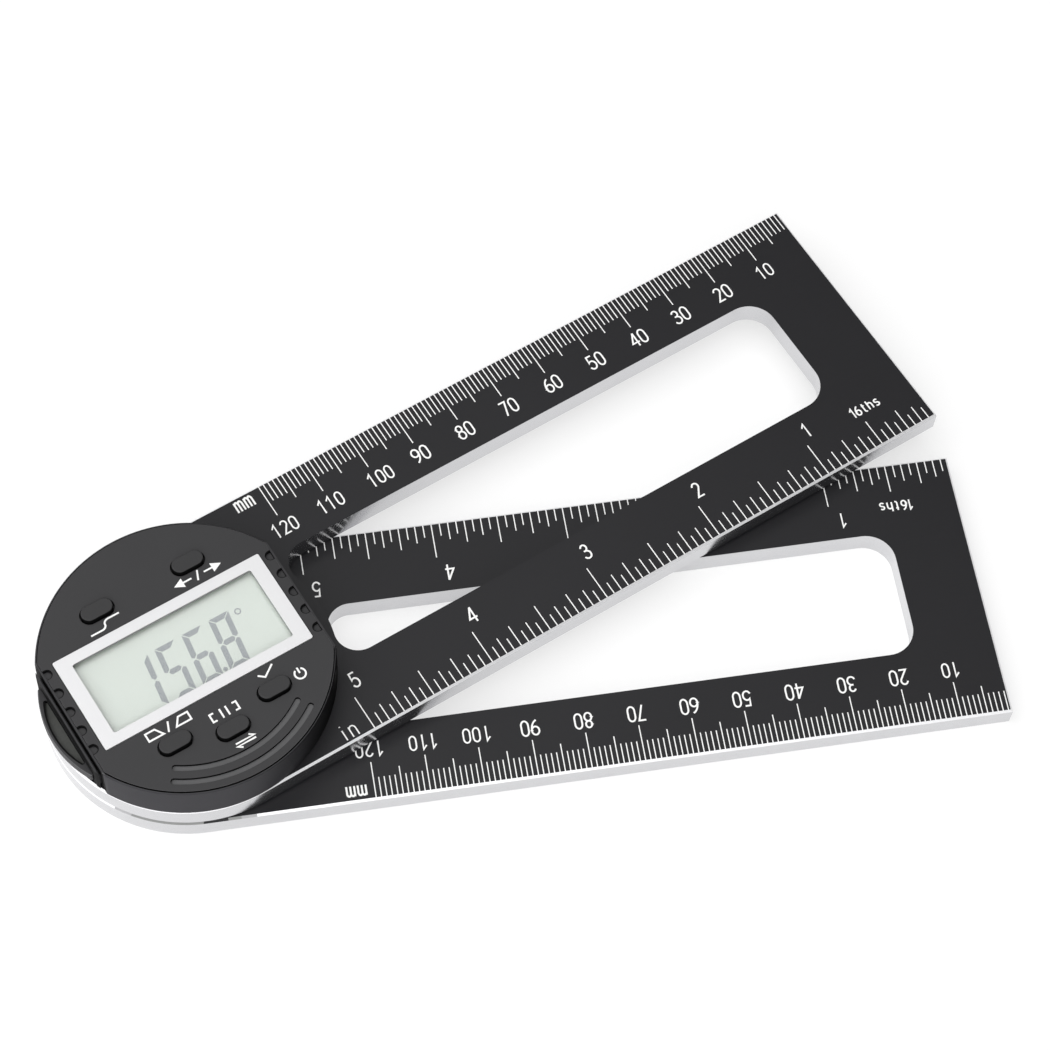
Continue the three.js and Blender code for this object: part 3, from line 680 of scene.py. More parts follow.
@dataclass(frozen=True)
class Finish:
    """A surface with a fine grain and slight changes of tone, all in the object's own coordinates.

    Attributes:
        name: The material's name.
        colour: Its main colour, linear.
        second: The colour that the tone drifts to.
        metallic: 0 for plastics and paints, 1 for bare metals.
        roughness: The mean roughness.
        roughness_drift: How far the grain moves the roughness up and down.
        grain: Size of the grain along X, Y and Z, in millimetres.
        bump: Height of the grain, in millimetres.
        patch: Size of the patches of tone, in millimetres.
        turn: How far the grain is turned about Z, in radians.
        coat: Strength of a clear coat.
        specular: Strength of the gloss of what isn't metal.
        glow: Strength of a white light of its own.
        darkens: Between which two places along X a painted shade turns the surface dark, in millimetres.
        darkest: How much of its tone the painted shade leaves past the second.
        black: The colour that the painted shade fades to.
    """

    name: str
    colour: Colour
    second: Colour
    metallic: float = 0.0
    roughness: float = 0.5
    roughness_drift: float = 0.06
    grain: tuple[float, float, float] = (0.2, 0.2, 0.2)
    bump: float = 0.004
    patch: float = 12.0
    turn: float = 0.0
    coat: float = 0.0
    specular: float = 0.5
    glow: float = 0.0
    darkens: Point | None = None
    darkest: float = 0.04
    black: Colour = (0.001, 0.001, 0.001)

    def make(self) -> bpy.types.Material:
        """Makes the node material.

        Returns:
            The material.
        """
        material = bpy.data.materials.new(self.name)
        material.use_nodes = True
        material.diffuse_color = (*self.colour, 1)
        tree = material.node_tree
        place_at = shader(tree, "TexCoord", {}, "Object")
        fine = self._noise(tree, place_at, self.grain, 3.0)
        broad = self._noise(tree, place_at, (self.patch,) * 3, 2.0)
        half = shader(tree, "Math", {0: broad, 1: 0.5}, operation="MULTIPLY")
        drift = shader(tree, "Math", {0: fine, 1: 0.5, 2: half}, operation="MULTIPLY_ADD")
        tone = blended(tree, drift, (*self.colour, 1), (*self.second, 1))
        if self.darkens:
            tone = self._darkened(tree, place_at, tone)
        least, most = self.roughness - self.roughness_drift, self.roughness + self.roughness_drift
        height = {"Strength": 1.0, "Distance": self.bump * MM, "Height": fine}
        surface = {
            "Base Color": tone,
            "Metallic": self.metallic,
            "Roughness": shader(tree, "MapRange", {"Value": fine, "To Min": least, "To Max": most}),
            "Normal": shader(tree, "Bump", height),
            "Coat Weight": self.coat,
            "Specular IOR Level": self.specular,
        }
        if self.glow:
            surface |= {"Emission Color": (1, 1, 1, 1), "Emission Strength": self.glow}
        feed(tree.nodes["Principled BSDF"], surface)
        return material

    # Painted shade: the tone fades to near black along X, in the object's own coordinates.
    def _darkened(
        self, tree: bpy.types.NodeTree, place_at: bpy.types.NodeSocket, tone: bpy.types.NodeSocket
    ) -> bpy.types.NodeSocket:
        """A tone that fades to near black along X.

        Args:
            tree: The tree that gets the nodes.
            place_at: The coordinates.
            tone: The colour that fades.

        Returns:
            The colour.
        """
        start, end = self.darkens
        fade = {
            "Value": shader(tree, "SeparateXYZ", {"Vector": place_at}, "X"), "From Min": start * MM,
            "From Max": end * MM, "To Min": 1.0, "To Max": self.darkest,
        }
        left = shader(tree, "MapRange", fade, interpolation_type="SMOOTHSTEP")
        return blended(tree, left, (*self.black, 1), tone)

    def _noise(
        self, tree: bpy.types.NodeTree, place_at: bpy.types.NodeSocket, size: Sequence[float], detail: float
    ) -> bpy.types.NodeSocket:
        """A noise of one size, turned with the piece.

        Args:
            tree: The tree that gets the nodes.
            place_at: The coordinates.
            size: Size of the noise along each axis, in millimetres.
            detail: How many finer layers it has.

        Returns:
            The noise's value.
        """
        along = shader(tree, "Mapping", {"Vector": place_at, "Rotation": (0, 0, self.turn)})
        scale = tuple(1 / (s * MM) for s in size)
        stretched = shader(tree, "Mapping", {"Vector": along, "Scale": scale})
        return shader(tree, "TexNoise", {"Vector": stretched, "Scale": 1.0, "Detail": detail}, "Fac")


@dataclass(frozen=True)
class ClearWindow:
    """A thin clear window: it lets the display through and keeps a gloss that grows at flat angles.

    Attributes:
        name: The material's name.
        tint: What it lets through.
        least: The gloss seen straight on.
        most: The gloss seen along the surface.
        growth: How early the gloss grows between the two.
        roughness: Roughness of the gloss.
        haze: Size of the faint uneven patches in the gloss, in millimetres.
    """

    name: str
    tint: Colour = (0.985, 0.995, 0.99)
    least: float = 0.02
    most: float = 0.8
    growth: float = 0.1
    roughness: float = 0.08
    haze: float = 6.0

    def make(self) -> bpy.types.Material:
        """Makes the node material.

        Returns:
            The material.
        """
        material = bpy.data.materials.new(self.name)
        material.use_nodes = True
        tree = material.node_tree
        tree.nodes.remove(tree.nodes["Principled BSDF"])
        patches = {"Vector": shader(tree, "TexCoord", {}, "Object"), "Scale": 1 / (self.haze * MM)}
        rough = {
            "Value": shader(tree, "TexNoise", patches, "Fac"), "To Min": self.roughness / 2,
            "To Max": self.roughness * 2,
        }
        share = {
            "Value": shader(tree, "LayerWeight", {"Blend": self.growth}, "Facing"), "To Min": self.least,
            "To Max": self.most,
        }
        both = {
            0: shader(tree, "MapRange", share),
            1: shader(tree, "BsdfTransparent", {"Color": (*self.tint, 1)}),
            2: shader(tree, "BsdfAnisotropic", {"Roughness": shader(tree, "MapRange", rough)}),
        }
        feed(tree.nodes["Material Output"], {"Surface": shader(tree, "MixShader", both)})
        return material


TURN = rest_opening()

BLADE_BLACK = Finish(
    "blade_black", (0.0085, 0.0083, 0.0098), (0.015, 0.0147, 0.0168), roughness=0.42, roughness_drift=0.07,
    grain=(2.5, 0.08, 0.08), bump=0.0018, patch=25, specular=0.25,
)
BLADE_BLACK_TURNED = replace(BLADE_BLACK, name="blade_black_turned", turn=TURN)
BARE_EDGE = Finish(
    "bare_edge", (0.66, 0.66, 0.67), (0.58, 0.58, 0.6), metallic=1, roughness=0.2, grain=(6, 6, 0.14),
    bump=0.0006, patch=9,
)
CHAMFER = Finish(
    "bare_chamfer", (0.9, 0.9, 0.91), (0.84, 0.84, 0.86), metallic=0.6, roughness=0.42, grain=(4, 4, 0.2),
    bump=0.001, patch=9,
)
# Painted shade in light grey, on the chamfer where the other blade shades it.
SHADED_EDGE = replace(
    CHAMFER, name="shaded_chamfer", colour=(0.42, 0.42, 0.43), second=(0.36, 0.36, 0.37), metallic=0,
    roughness=0.5,
)
# White print with a faint glow of its own: painted light that keeps it bright where it lies in shade.
GLOWING_PRINT = Finish(
    "white_print_painted_glow", (0.78, 0.78, 0.77), (0.7, 0.7, 0.69), roughness=0.6, grain=(0.12, 0.12, 0.12), bump=0.003,
    patch=5, glow=0.13,
)
CASE = Finish(
    "moulded_black", (0.018, 0.0177, 0.0195), (0.025, 0.0246, 0.027), roughness_drift=0.08,
    grain=(0.14, 0.14, 0.14), bump=0.005, patch=14, specular=0.34,
)
# Painted light and shade on the wall's black plastic: a lighter copy of the case's tone for the lit front,
# fading to painted shade, near black, towards +X.
WALL_WITH_PAINTED_SHADE = replace(
    CASE, name="wall_black_with_painted_shade", colour=(0.0335, 0.0329, 0.0367), second=(0.0441, 0.0433, 0.0483), specular=0.06,
    darkens=(-10, 20),
)
COVER = Finish(
    "cover_black", (0.019, 0.0188, 0.0203), (0.0295, 0.0292, 0.0307), roughness=0.46, roughness_drift=0.07,
    grain=(0.16, 0.16, 0.16), bump=0.005, patch=16, specular=0.32,
)
# The lighter grey of the arcs' floors, used also as a painted highlight on the cover's outer edge, the wall's
# left rim and the tab's upper edge.
GROOVE_AND_HIGHLIGHT = Finish(
    "groove_floor_and_painted_highlight", (0.082, 0.082, 0.084), (0.11, 0.11, 0.113), roughness=0.6, grain=(0.12, 0.12, 0.12),
    bump=0.005, patch=8, specular=0.4,
)
DISH = Finish(
    "dish_floor", (0.03, 0.031, 0.03), (0.07, 0.072, 0.066), roughness=0.6, grain=(0.35, 0.35, 0.35),
    bump=0.03, patch=1.2, specular=0.3,
)
# Painted shade: near black put on the walls and outlines of recesses, on gaps and on sides that lie in shade.
PAINTED_SHADE = Finish(
    "painted_shade_black", (0.0016, 0.0016, 0.0018), (0.003, 0.003, 0.0032), roughness=0.7, grain=(0.12, 0.12, 0.12),
    patch=5, specular=0.1,
)
RUBBER = Finish(
    "button_black", (0.017, 0.0168, 0.018), (0.026, 0.0258, 0.0268), grain=(0.1, 0.1, 0.1), bump=0.003,
    patch=4, specular=0.34,
)
# Painted shade in mid grey: on the frame's inner walls, and on the lower blade's chamfer where the upper
# blade shades it.
PAINTED_SHADE_GREY = Finish(
    "painted_shade_grey", (0.2, 0.205, 0.2), (0.27, 0.275, 0.27), roughness=0.45, grain=(0.3, 0.3, 0.3), bump=0.001,
    patch=10,
)
BEZEL = Finish(
    "silver_frame", (0.647, 0.647, 0.652), (0.6, 0.6, 0.61), metallic=0.25, roughness=0.32,
    roughness_drift=0.05, grain=(0.3, 0.3, 0.3), bump=0.001, patch=10,
)
CRYSTAL = Finish(
    "display_grey", (0.589, 0.615, 0.577), (0.62, 0.644, 0.611), roughness=0.25, roughness_drift=0.03,
    grain=(0.3, 0.3, 0.3), bump=0.0004, patch=20,
)
SEGMENT = Finish(
    "segment_dark", (0.26, 0.27, 0.295), (0.31, 0.32, 0.335), roughness=0.35, bump=0.0004, patch=6
)
STEEL = Finish(
    "turned_steel", (0.62, 0.62, 0.64), (0.5, 0.5, 0.52), metallic=1, roughness=0.3, grain=(0.8, 0.8, 0.1),
    bump=0.002, patch=7,
)
NICKEL = Finish(
    "cell_nickel", (0.7, 0.7, 0.71), (0.6, 0.6, 0.62), metallic=1, roughness=0.26, grain=(3, 0.15, 0.15),
    bump=0.0015, patch=8,
)
BRASS = Finish(
    "turned_brass", (0.72, 0.53, 0.26), (0.6, 0.43, 0.2), metallic=1, roughness=0.32, grain=(0.9, 0.9, 0.1),
    bump=0.002, patch=6,
)
NYLON = Finish(
    "white_nylon", (0.78, 0.76, 0.7), (0.7, 0.68, 0.62), roughness=0.55, grain=(0.3, 0.3, 0.3), patch=8
)
MASK = Finish(
    "solder_mask", (0.02, 0.13, 0.055), (0.015, 0.09, 0.04), roughness=0.35, grain=(0.5, 0.5, 0.5), patch=5,
    coat=0.3,
)
MOULDED = Finish("component_body", (0.018, 0.018, 0.018), (0.03, 0.03, 0.03), grain=(0.1, 0.1, 0.1), patch=3)
ZEBRA = Finish(
    "layered_rubber", (0.36, 0.3, 0.28), (0.05, 0.045, 0.045), roughness=0.7, grain=(0.25, 6, 6), bump=0.002,
    patch=6,
)
WINDOW = ClearWindow("clear_window")
PAPER = Finish(
    "floor_paper", (0.33, 0.33, 0.33), (0.32, 0.32, 0.32), roughness=0.8, grain=(2, 2, 2), bump=0.002,
    patch=200, glow=0.66,
)

NODE_FINISHES: dict[Slot, Finish | ClearWindow] = {
    Slot.BLADE: BLADE_BLACK,
    Slot.STEEL: STEEL,
    Slot.CELL: NICKEL,
    Slot.BRASS: BRASS,
    Slot.NYLON: NYLON,
    Slot.BOARD: MASK,
    Slot.CASE: CASE,
    Slot.BUTTON: RUBBER,
    Slot.CHIP: MOULDED,
    Slot.BEZEL: BEZEL,
    Slot.LENS: WINDOW,
    Slot.CRYSTAL: CRYSTAL,
    Slot.ZEBRA: ZEBRA,
}


def dress(obj: bpy.types.Object, *finishes: Finish | ClearWindow) -> None:
    """Gives an object its materials, each made only once.

    Args:
        obj: The object.
        finishes: Its finishes, the first for all faces.
    """
    obj.data.materials.clear()
    for finish in finishes:
        obj.data.materials.append(bpy.data.materials.get(finish.name) or finish.make())


def paint(
    obj: bpy.types.Object, finishes: Sequence[Finish], rule: Callable[[Vector, Vector], int]
) -> None:
    """Gives an object its materials, and each face one of them.

    Args:
        obj: The object.
        finishes: Its finishes.
        rule: Takes a face's middle, in metres, and its normal, and gives the number of its finish.
    """
    dress(obj, *finishes)
    for face in obj.data.polygons:
        face.material_index = rule(face.center, face.normal)


def dress_nodes() -> None:
    """Gives every CAD node the finish of its record slot."""
    slots = {part["node"]: part["material_slot"] for part in frame["record"]["subparts"]}
    for name, node in frame["nodes"].items():
        dress(node, NODE_FINISHES[Slot(slots[name])])
    log.info("dressed %d nodes", len(frame["nodes"]))


def place(obj: bpy.types.Object, body: str, slot: Slot, *replaced: str) -> None:
    """Lets a finished piece ride on its body, and hides what it stands for.

    Args:
        obj: The piece.
        body: The body that it moves with.
        slot: The record's slot that it belongs to; not used.
        replaced: The CAD nodes that it stands for.
    """
    if replaced:
        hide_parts(*replaced)
    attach(obj, body)
    log.info("%s: %d faces", obj.name, len(obj.data.polygons))


# Blades


class Side(Enum):
    """A blade's long edges, seen from the pivot towards its square end."""

    LEFT = 1
    RIGHT = -1


@dataclass(frozen=True)
class Scale:
    """A row of graduations that grows by steps: each longer tick adds a piece to the shorter one.

    Attributes:
        name: The piece's name.
        unit: The distance between the shortest ticks.
        last: The length of the whole scale.
        steps: For each kind of tick, the units between two and the length from the edge.
        stroke: The ticks' width.
    """

    name: str
    unit: float
    last: float
    steps: Sequence[tuple[int, float]]
    stroke: float = 0.2

    def build(
        self, zero: float, edge: float, side: int, level: float, thickness: float
    ) -> bpy.types.Object:
        """Prints the ticks.

        Args:
            zero: Where the scale's zero lies.
            edge: How far the black face's edge lies from the middle.
            side: The edge that the scale stands on, 1 for the left and -1 for the right.
            level: The surface.
            thickness: The print's thickness.

        Returns:
            The ticks as one object.
        """
        rows = []
        inner = 0.0
        for pitch, reach in self.steps:
            gap = self.unit * pitch
            at = (zero - gap, side * (edge - (inner + reach) / 2))
            tick = rounded_plate(
                self.name, at, (self.stroke, reach - inner), 0, level, level + thickness
            )
            modify(
                tick, "ARRAY", count=round(self.last / gap), use_relative_offset=False,
                use_constant_offset=True, constant_offset_displace=(-gap * MM, 0, 0),
            )
            rows.append(tick)
            inner = reach
        return joined(self.name, rows)


MILLIMETRES = Scale("mm_ticks", 1.0, 120.0, ((1, 3.9), (5, 5.5), (10, 7.0)))
SIXTEENTHS = Scale(
    "inch_ticks", INCH / 16, 5 * INCH, ((1, 2.55), (2, 3.55), (4, 4.55), (8, 5.55), (16, 7.05))
)


class Tone(int, Enum):
    """The numbers of a bar's materials."""

    FACE = 0
    EDGE = 1
    CHAMFER = 2
    # This one and the next are painted shade on the chamfer where the other blade shades it; there the face's
    # black is painted shade too.
    GREY = 3
    SHADED = 4


@dataclass
class Blade:
    """One rule blade: a flat bar with a window, its print and its bare edges.

    Attributes:
        node: The CAD node that it stands for.
        body: The body that it rides on.
        turn: How far it is turned about the pivot, in radians.
        millimetre_side: The edge that the millimetres stand on.
        millimetre_start: How far the millimetre scale's zero lies past the black face.
        inch_start: The same for the inch scale.
        cells: Width of a figure's cell with up to two figures and with three, as a share of the height
            between its middle lines.
        hundred_shift: How far the figure of the hundred stands past its tick.
        rim_tones: Where the other blade shades the top chamfer, painted shade on it: the places along the
            rim, in
        degrees of the round end, from which each of the bar's materials shows.
        millimetre_row: The black face's edge to the middle of its row of figures.
        inch_row: The same for the inches.
        inch_figure_shift: How far an inch figure stands past its tick.
        unit_at: The millimetre mark: pivot to its middle, along and across.
        unit_height: Its height.
        fraction_at: The same place for the mark of the sixteenths.
        inch_at: The same for the inch mark.
    """

    node: str
    body: Body
    turn: float
    millimetre_side: Side
    millimetre_start: float
    inch_start: float
    chamfer: float = 0.4
    window_half: float = 12.65
    window_end: float = 14.75
    window_corner: float = 5.5
    window_head_gap: float = 0.55
    window_head_corner: float = 4.5
    print_thickness: float = 0.02
    figure_height: float = 3.3
    cells: Point = (0.64, 0.668)
    hundred_shift: float = 0.0
    rim_tones: Sequence[tuple[float, Tone]] = ()
    millimetre_row: float = 9.8
    inch_row: float = 10.1
    inch_figure_shift: float = 1.82
    unit_at: Point = (26.5, 25.2)
    unit_height: float = 2.4
    fraction_at: Point = (139.5, 18.5)
    inch_at: Point = (19.32, 24.96)
    face: Finish = BLADE_BLACK
    low: float = field(init=False)
    high: float = field(init=False)
    half: float = field(init=False)
    reach: float = field(init=False)

    def __post_init__(self) -> None:
        """Takes the levels, the width and the length from the CAD nodes."""
        self.low, self.high = Box.of(self.node).low.z, Box.of(self.node).high.z
        self.reach, self.half = Box.of("upper_blade").high.xy

    def build(self) -> None:
        """Models the bar, cuts its window and prints its scales."""
        bar = combine(self._bar(), "DIFFERENCE", self._window())
        paint(bar, (self.face, BARE_EDGE, CHAMFER, PAINTED_SHADE_GREY, SHADED_EDGE), self._tone)
        smooth(bar)
        place(turned(bar, self.turn), self.body.value, Slot.BLADE, self.node)
        marks = self._marks()
        dress(marks, GLOWING_PRINT)
        place(turned(marks, self.turn), self.body.value, Slot.BLADE)

    def _bar(self) -> bpy.types.Object:
        """The bar with its round head end and chamfered edges.

        Returns:
            The new object.
        """
        bar = circle(f"{self.node}_bar", self.half, self.low)
        slice_off(bar, 0, fill=False)
        choose_edges(bar, lambda a, b: abs(a.x) < TINY and abs(b.x) < TINY)
        bpy.ops.mesh.extrude_region_move(TRANSFORM_OT_translate={"value": (self.reach * MM, 0, 0)})
        close()
        raise_up(bar, self.high - self.low)
        level = (self.low * MM, self.high * MM)

        def on_rim(a: Vector, b: Vector) -> bool:
            """Whether an edge lies on the rim of the top or the underside."""
            flat = any(abs(a.z - z) < TINY and abs(b.z - z) < TINY for z in level)
            return flat and not (abs(a.x) < TINY and abs(b.x) < TINY)

        choose_edges(bar, on_rim)
        bpy.ops.mesh.bevel(offset=self.chamfer * MM, segments=1, affect="EDGES", clamp_overlap=True)
        close()
        # Cuts across the bar so that the painted shade on the rim can start and end there.
        for start, _ in self.rim_tones:
            if start > -90:
                slice_off(bar, math.radians(start + 90) * self.half, fill=False, clear=False)
        return bar

    def _window(self) -> bpy.types.Object:
        """A cutter with the window's outline: square far end, and a near end that follows the head.

        Returns:
            The cutter.
        """
        steps = 12
        far_x = self.reach - self.window_end - self.window_corner
        far_y = self.window_half - self.window_corner
        head = self.half + self.window_head_gap
        near_y = self.window_half - self.window_head_corner
        near_x = math.sqrt((head + self.window_head_corner) ** 2 - near_y**2)
        blend = math.atan2(near_y, near_x)
        quarter = math.pi / 2
        outline = (
            arc((far_x, -far_y), self.window_corner, -quarter, 0, steps)
            + arc((far_x, far_y), self.window_corner, 0, quarter, steps)
            + arc((near_x, near_y), self.window_head_corner, quarter, math.pi + blend, steps * 2)
            + arc((0, 0), head, blend, -blend, steps * 2)[1:-1]
            + arc((near_x, -near_y), self.window_head_corner, math.pi - blend, 3 * quarter, steps * 2)
        )
        return outlined("window_cutter", outline, self.low - OVERRUN, self.high + OVERRUN)

    def _tone(self, middle: Vector, normal: Vector) -> Tone:
        """Black on the flat faces, bare metal on the chamfers and walls, and painted shade on the shaded part
        of the rim.

        Args:
            middle: The face's middle.
            normal: Its normal.

        Returns:
            The face's material.
        """
        upright = normal.z
        tone = Tone.FACE if abs(upright) > FLAT else Tone.CHAMFER if abs(upright) > UPRIGHT else Tone.EDGE
        if middle.xy.length > (self.half - self.chamfer) * MM and middle.y < 0 and UPRIGHT < upright < FLAT:
            along = middle.x / (self.half * MM) - math.pi / 2
            if middle.x < 0:
                along = math.atan2(middle.y, middle.x)
            for start, shaded in self.rim_tones:
                if along > math.radians(start):
                    tone = shaded
        return tone

    def _marks(self) -> bpy.types.Object:
        """All the print on the blade's upper face.

        Returns:
            The print as one object.
        """
        end, edge = self.reach - self.chamfer, self.half - self.chamfer
        side = self.millimetre_side.value
        zero, inch_zero = end + self.millimetre_start, end + self.inch_start
        pieces = [
            MILLIMETRES.build(zero, edge, side, self.high, self.print_thickness),
            SIXTEENTHS.build(inch_zero, edge, -side, self.high, self.print_thickness),
        ]
        for value in range(10, 121, 10):
            x = zero - value + (self.hundred_shift if value == 100 else 0)
            pieces.append(self._figure(str(value), (x, side * (edge - self.millimetre_row))))
        for value in range(1, 6):
            x = inch_zero - INCH * value + self.inch_figure_shift
            pieces.append(self._figure(str(value), (x, -side * (edge - self.inch_row))))
        for text, height, width, (x, y), way, stroke, gap in (
            ("mm", self.unit_height, 3.9, self.unit_at, side, 0.2, 0.16),
            ("16ths", 2.5, 6.5, self.fraction_at, -side, 0.15, 0.16),
            ("in", 3.1, None, self.inch_at, -side, 0.085, 0.34),
        ):
            pieces.append(self._text(text, height, width, (x, way * y), stroke=stroke, gap=gap))
        return joined(f"{self.node}_print", pieces)

    def _figure(self, text: str, at: Point) -> bpy.types.Object:
        """One figure of a scale, in cells of even width, with its middle at a place."""
        return self._text(text, self.figure_height, None, at, cell=self.cells[len(text) > 2])

    def _text(
        self, text: str, height: float, width: float | None, at: Point, **style: float
    ) -> bpy.types.Object:
        """Lettering on the blade's face, the right way up for its scales."""
        flipped = self.millimetre_side is Side.RIGHT
        return lettering("mark", text, height, width, at, self.high, self.print_thickness, flipped, **style)


# Display head


@dataclass
class Casing:
    """The head's wall and cover, with every opening that shows.

    Attributes:
        draft: How far the wall leans in from foot to rim.
        rim_round: Radius of the wall's upper edge.
        groove: Width of the open joint round the cover.
        wall: The wall's thickness.
        floor: The thickness of its floor.
        board_gap: The opening in the floor stands this far off the board.
        cover_edge: Radius of the cover's edges.
        flat_rim: Width of the rim that closes the notches at each flat.
        flat_joint: Width of the joint inside that rim.
        arc_edge: The cover's edge to the middle of the outer arc.
        arc_pitch: From one arc to the next.
        notch_reach: Length of a notch, from the flat to its round end.
        notch_line: Width of the painted shade that outlines a notch.
        hole_edge: The edges of holes get painted shade where their normal's upward part is less than this.
        line_depth: Its depth.
        button_gap: Play round a button.
        seat_gap: Play round the display's frame.
        seat_corner: Corner radius of the opening for it.
        bay_gap: Width of the battery's slot past the cell.
        bay_drop: Top of the slot below the glass.
    """

    draft: float = 0.15
    rim_round: float = 0.25
    groove: float = 0.2
    wall: float = 1.5
    floor: float = 0.8
    board_gap: float = 0.3
    cover_edge: float = 0.09
    flat_rim: float = 0.38
    flat_joint: float = 0.05
    cover_thickness: float = 1.2
    arc_width: float = 1.12
    arc_depth: float = 0.55
    arc_edge: float = 1.92
    arc_pitch: float = 2.6
    arc_half_angle: float = math.radians(34.7)
    notch_count: int = 5
    notch_pitch: float = 4.25
    notch_radius: float = 0.85
    notch_reach: float = 1.7
    notch_depth: float = 0.7
    notch_line: float = 0.17
    hole_edge: float = 0.97
    line_depth: float = 0.12
    button_gap: float = 0.3
    seat_gap: float = 0.1
    seat_corner: float = 0.45
    bay_gap: float = 1.25
    bay_drop: float = 0.6

    def __post_init__(self) -> None:
        """Takes the main places from the CAD nodes."""
        case, cover = Box.of("case_body"), Box.of("top_cover")
        self.foot = Box.of("upper_blade").high.y
        self.base = case.low.z
        self.flat = case.high.x
        self.wall_top = case.high.z
        self.top = cover.high.z
        self.cover_radius = cover.high.y
        self.cover_base = self.top - self.cover_thickness
        self.cover_flat = self.flat - self.flat_rim - self.flat_joint
        self.above = self.top + OVERRUN

    def build(self) -> None:
        """Models the wall and the cover."""
        self._wall()
        self._cover()

    def _wall(self) -> None:
        """The side wall: it leans in to a rounded rim, and has two flats and the battery's slot."""
        wall = disc("head_wall", self.foot, self.base, self.wall_top)
        choose_edges(wall, at_height(self.wall_top))
        shrink = (self.foot - self.draft) / self.foot
        bpy.ops.transform.resize(value=(shrink, shrink, 1), center_override=(0, 0, self.wall_top * MM))
        bpy.ops.mesh.bevel(offset=self.rim_round * MM, segments=4, affect="EDGES")
        close()
        cut_flats(wall, self.flat)
        board = Box.of("main_board").high
        hollow = disc("hollow", self.cover_radius - self.wall / 2, self.base + self.floor, self.above)
        seat = disc("seat", self.cover_radius + self.groove, self.cover_base, self.above)
        below = disc("below", board.y + self.board_gap, self.base - OVERRUN, self.top)
        slot = rounded_plate(
            "slot", (-self.flat / 2 - OVERRUN, 0),
            (self.flat + 2 * OVERRUN, 2 * (Box.of("coin_cell").high.y + self.bay_gap)), 0,
            board.z, Box.of("lcd_panel").low.z - self.bay_drop,
        )
        cut_flats(hollow, self.flat - self.wall)
        cut_flats(seat, self.flat - self.flat_rim)
        combine(wall, "DIFFERENCE", hollow, seat, below, slot)

        def tone(middle: Vector, normal: Vector) -> int:
            """Painted shade in black on the drawer's flat, a painted highlight on the left rim, and the
            cover's tone on the other.

            Args:
                middle: A face's middle.
                normal: Its normal.

            Returns:
                The number of its finish.
            """
            if normal.x < -LEVEL and middle.x < -self.flat * MM + NEAR:
                return 1
            if normal.z > LEVEL and middle.z > self.wall_top * MM - NEAR:
                return 2 if middle.x < -(self.flat - self.flat_rim) * MM else 3
            return 0

        paint(wall, (WALL_WITH_PAINTED_SHADE, PAINTED_SHADE, GROOVE_AND_HIGHLIGHT, CASE), tone)
        smooth(wall)
        place(wall, Body.UPPER.value, Slot.CASE, "case_body")

    def _cover(self) -> None:
        """The cover plate, with its holes, arcs and notches."""
        cover = cut_flats(disc("head_cover", self.cover_radius, self.cover_base, self.top), self.cover_flat)
        bezel = Box.of("display_bezel")
        holes = [(bezel.centre, bezel.size, self.seat_gap, self.seat_corner, 8)]
        for button in BUTTONS:
            radius = button.width / 2 + self.button_gap
            holes.append((button.at, (button.length, button.width), self.button_gap, radius, TIP_STEPS))
        low = self.cover_base - OVERRUN
        cuts = [
            rounded_plate("cut", at, (size[0] + 2 * gap, size[1] + 2 * gap), corner, low, self.above, steps)
            for at, size, gap, corner, steps in holes
        ]
        cuts += [self._arc_cutter(self.cover_radius - self.arc_edge - i * self.arc_pitch) for i in range(2)]
        combine(cover, "DIFFERENCE", *cuts, *self._notch_cutters(self.notch_radius, self.notch_depth))
        soften(cover, self.cover_edge, 2, 50)
        # A shallow, wider cut round each notch, whose floor gets painted shade as the notch's dark outline.
        outlines = self._notch_cutters(self.notch_radius + self.notch_line, self.line_depth)
        combine(cover, "DIFFERENCE", *outlines)
        floor, line = (self.top - self.arc_depth) * MM, (self.top - self.line_depth) * MM
        rim, side = (self.cover_radius - self.groove) * MM, (self.cover_flat - self.groove) * MM

        def tone(middle: Vector, normal: Vector) -> int:
            """Light floors to the arcs, a painted highlight on the outer edge, and painted shade on the walls
            and the notch outlines.

            Args:
                middle: A face's middle.
                normal: Its normal.

            Returns:
                The number of its finish.
            """
            upright = normal.z
            outside = abs(middle.x) > side or middle.xy.length > rim
            if upright > FLAT and abs(middle.z - floor) < 2 * NEAR or outside and UPRIGHT < upright < FLAT:
                return 1
            dark = abs(upright) < (UPRIGHT if outside else self.hole_edge)
            return 2 if dark or upright > FLAT and abs(middle.z - line) < 2 * NEAR else 0

        paint(cover, (COVER, GROOVE_AND_HIGHLIGHT, PAINTED_SHADE), tone)
        smooth(cover)
        place(cover, Body.UPPER.value, Slot.CASE, "top_cover")

    def _arc_cutter(self, radius: float) -> bpy.types.Object:
        """A sunk arc about the pivot, with round ends.

        Args:
            radius: The arc's middle line.

        Returns:
            The cutter.
        """
        half = self.arc_width / 2
        low, high = -math.pi / 2 - self.arc_half_angle, -math.pi / 2 + self.arc_half_angle
        right = (radius * math.cos(high), radius * math.sin(high))
        left = (radius * math.cos(low), radius * math.sin(low))
        outline = (
            arc((0, 0), radius + half, low, high, ARC_STEPS)
            + arc(right, half, high, high + math.pi, 8)[1:-1]
            + arc((0, 0), radius - half, high, low, ARC_STEPS)
            + arc(left, half, low + math.pi, low + 2 * math.pi, 8)[1:-1]
        )
        return outlined("arc_cutter", outline, self.top - self.arc_depth, self.above)

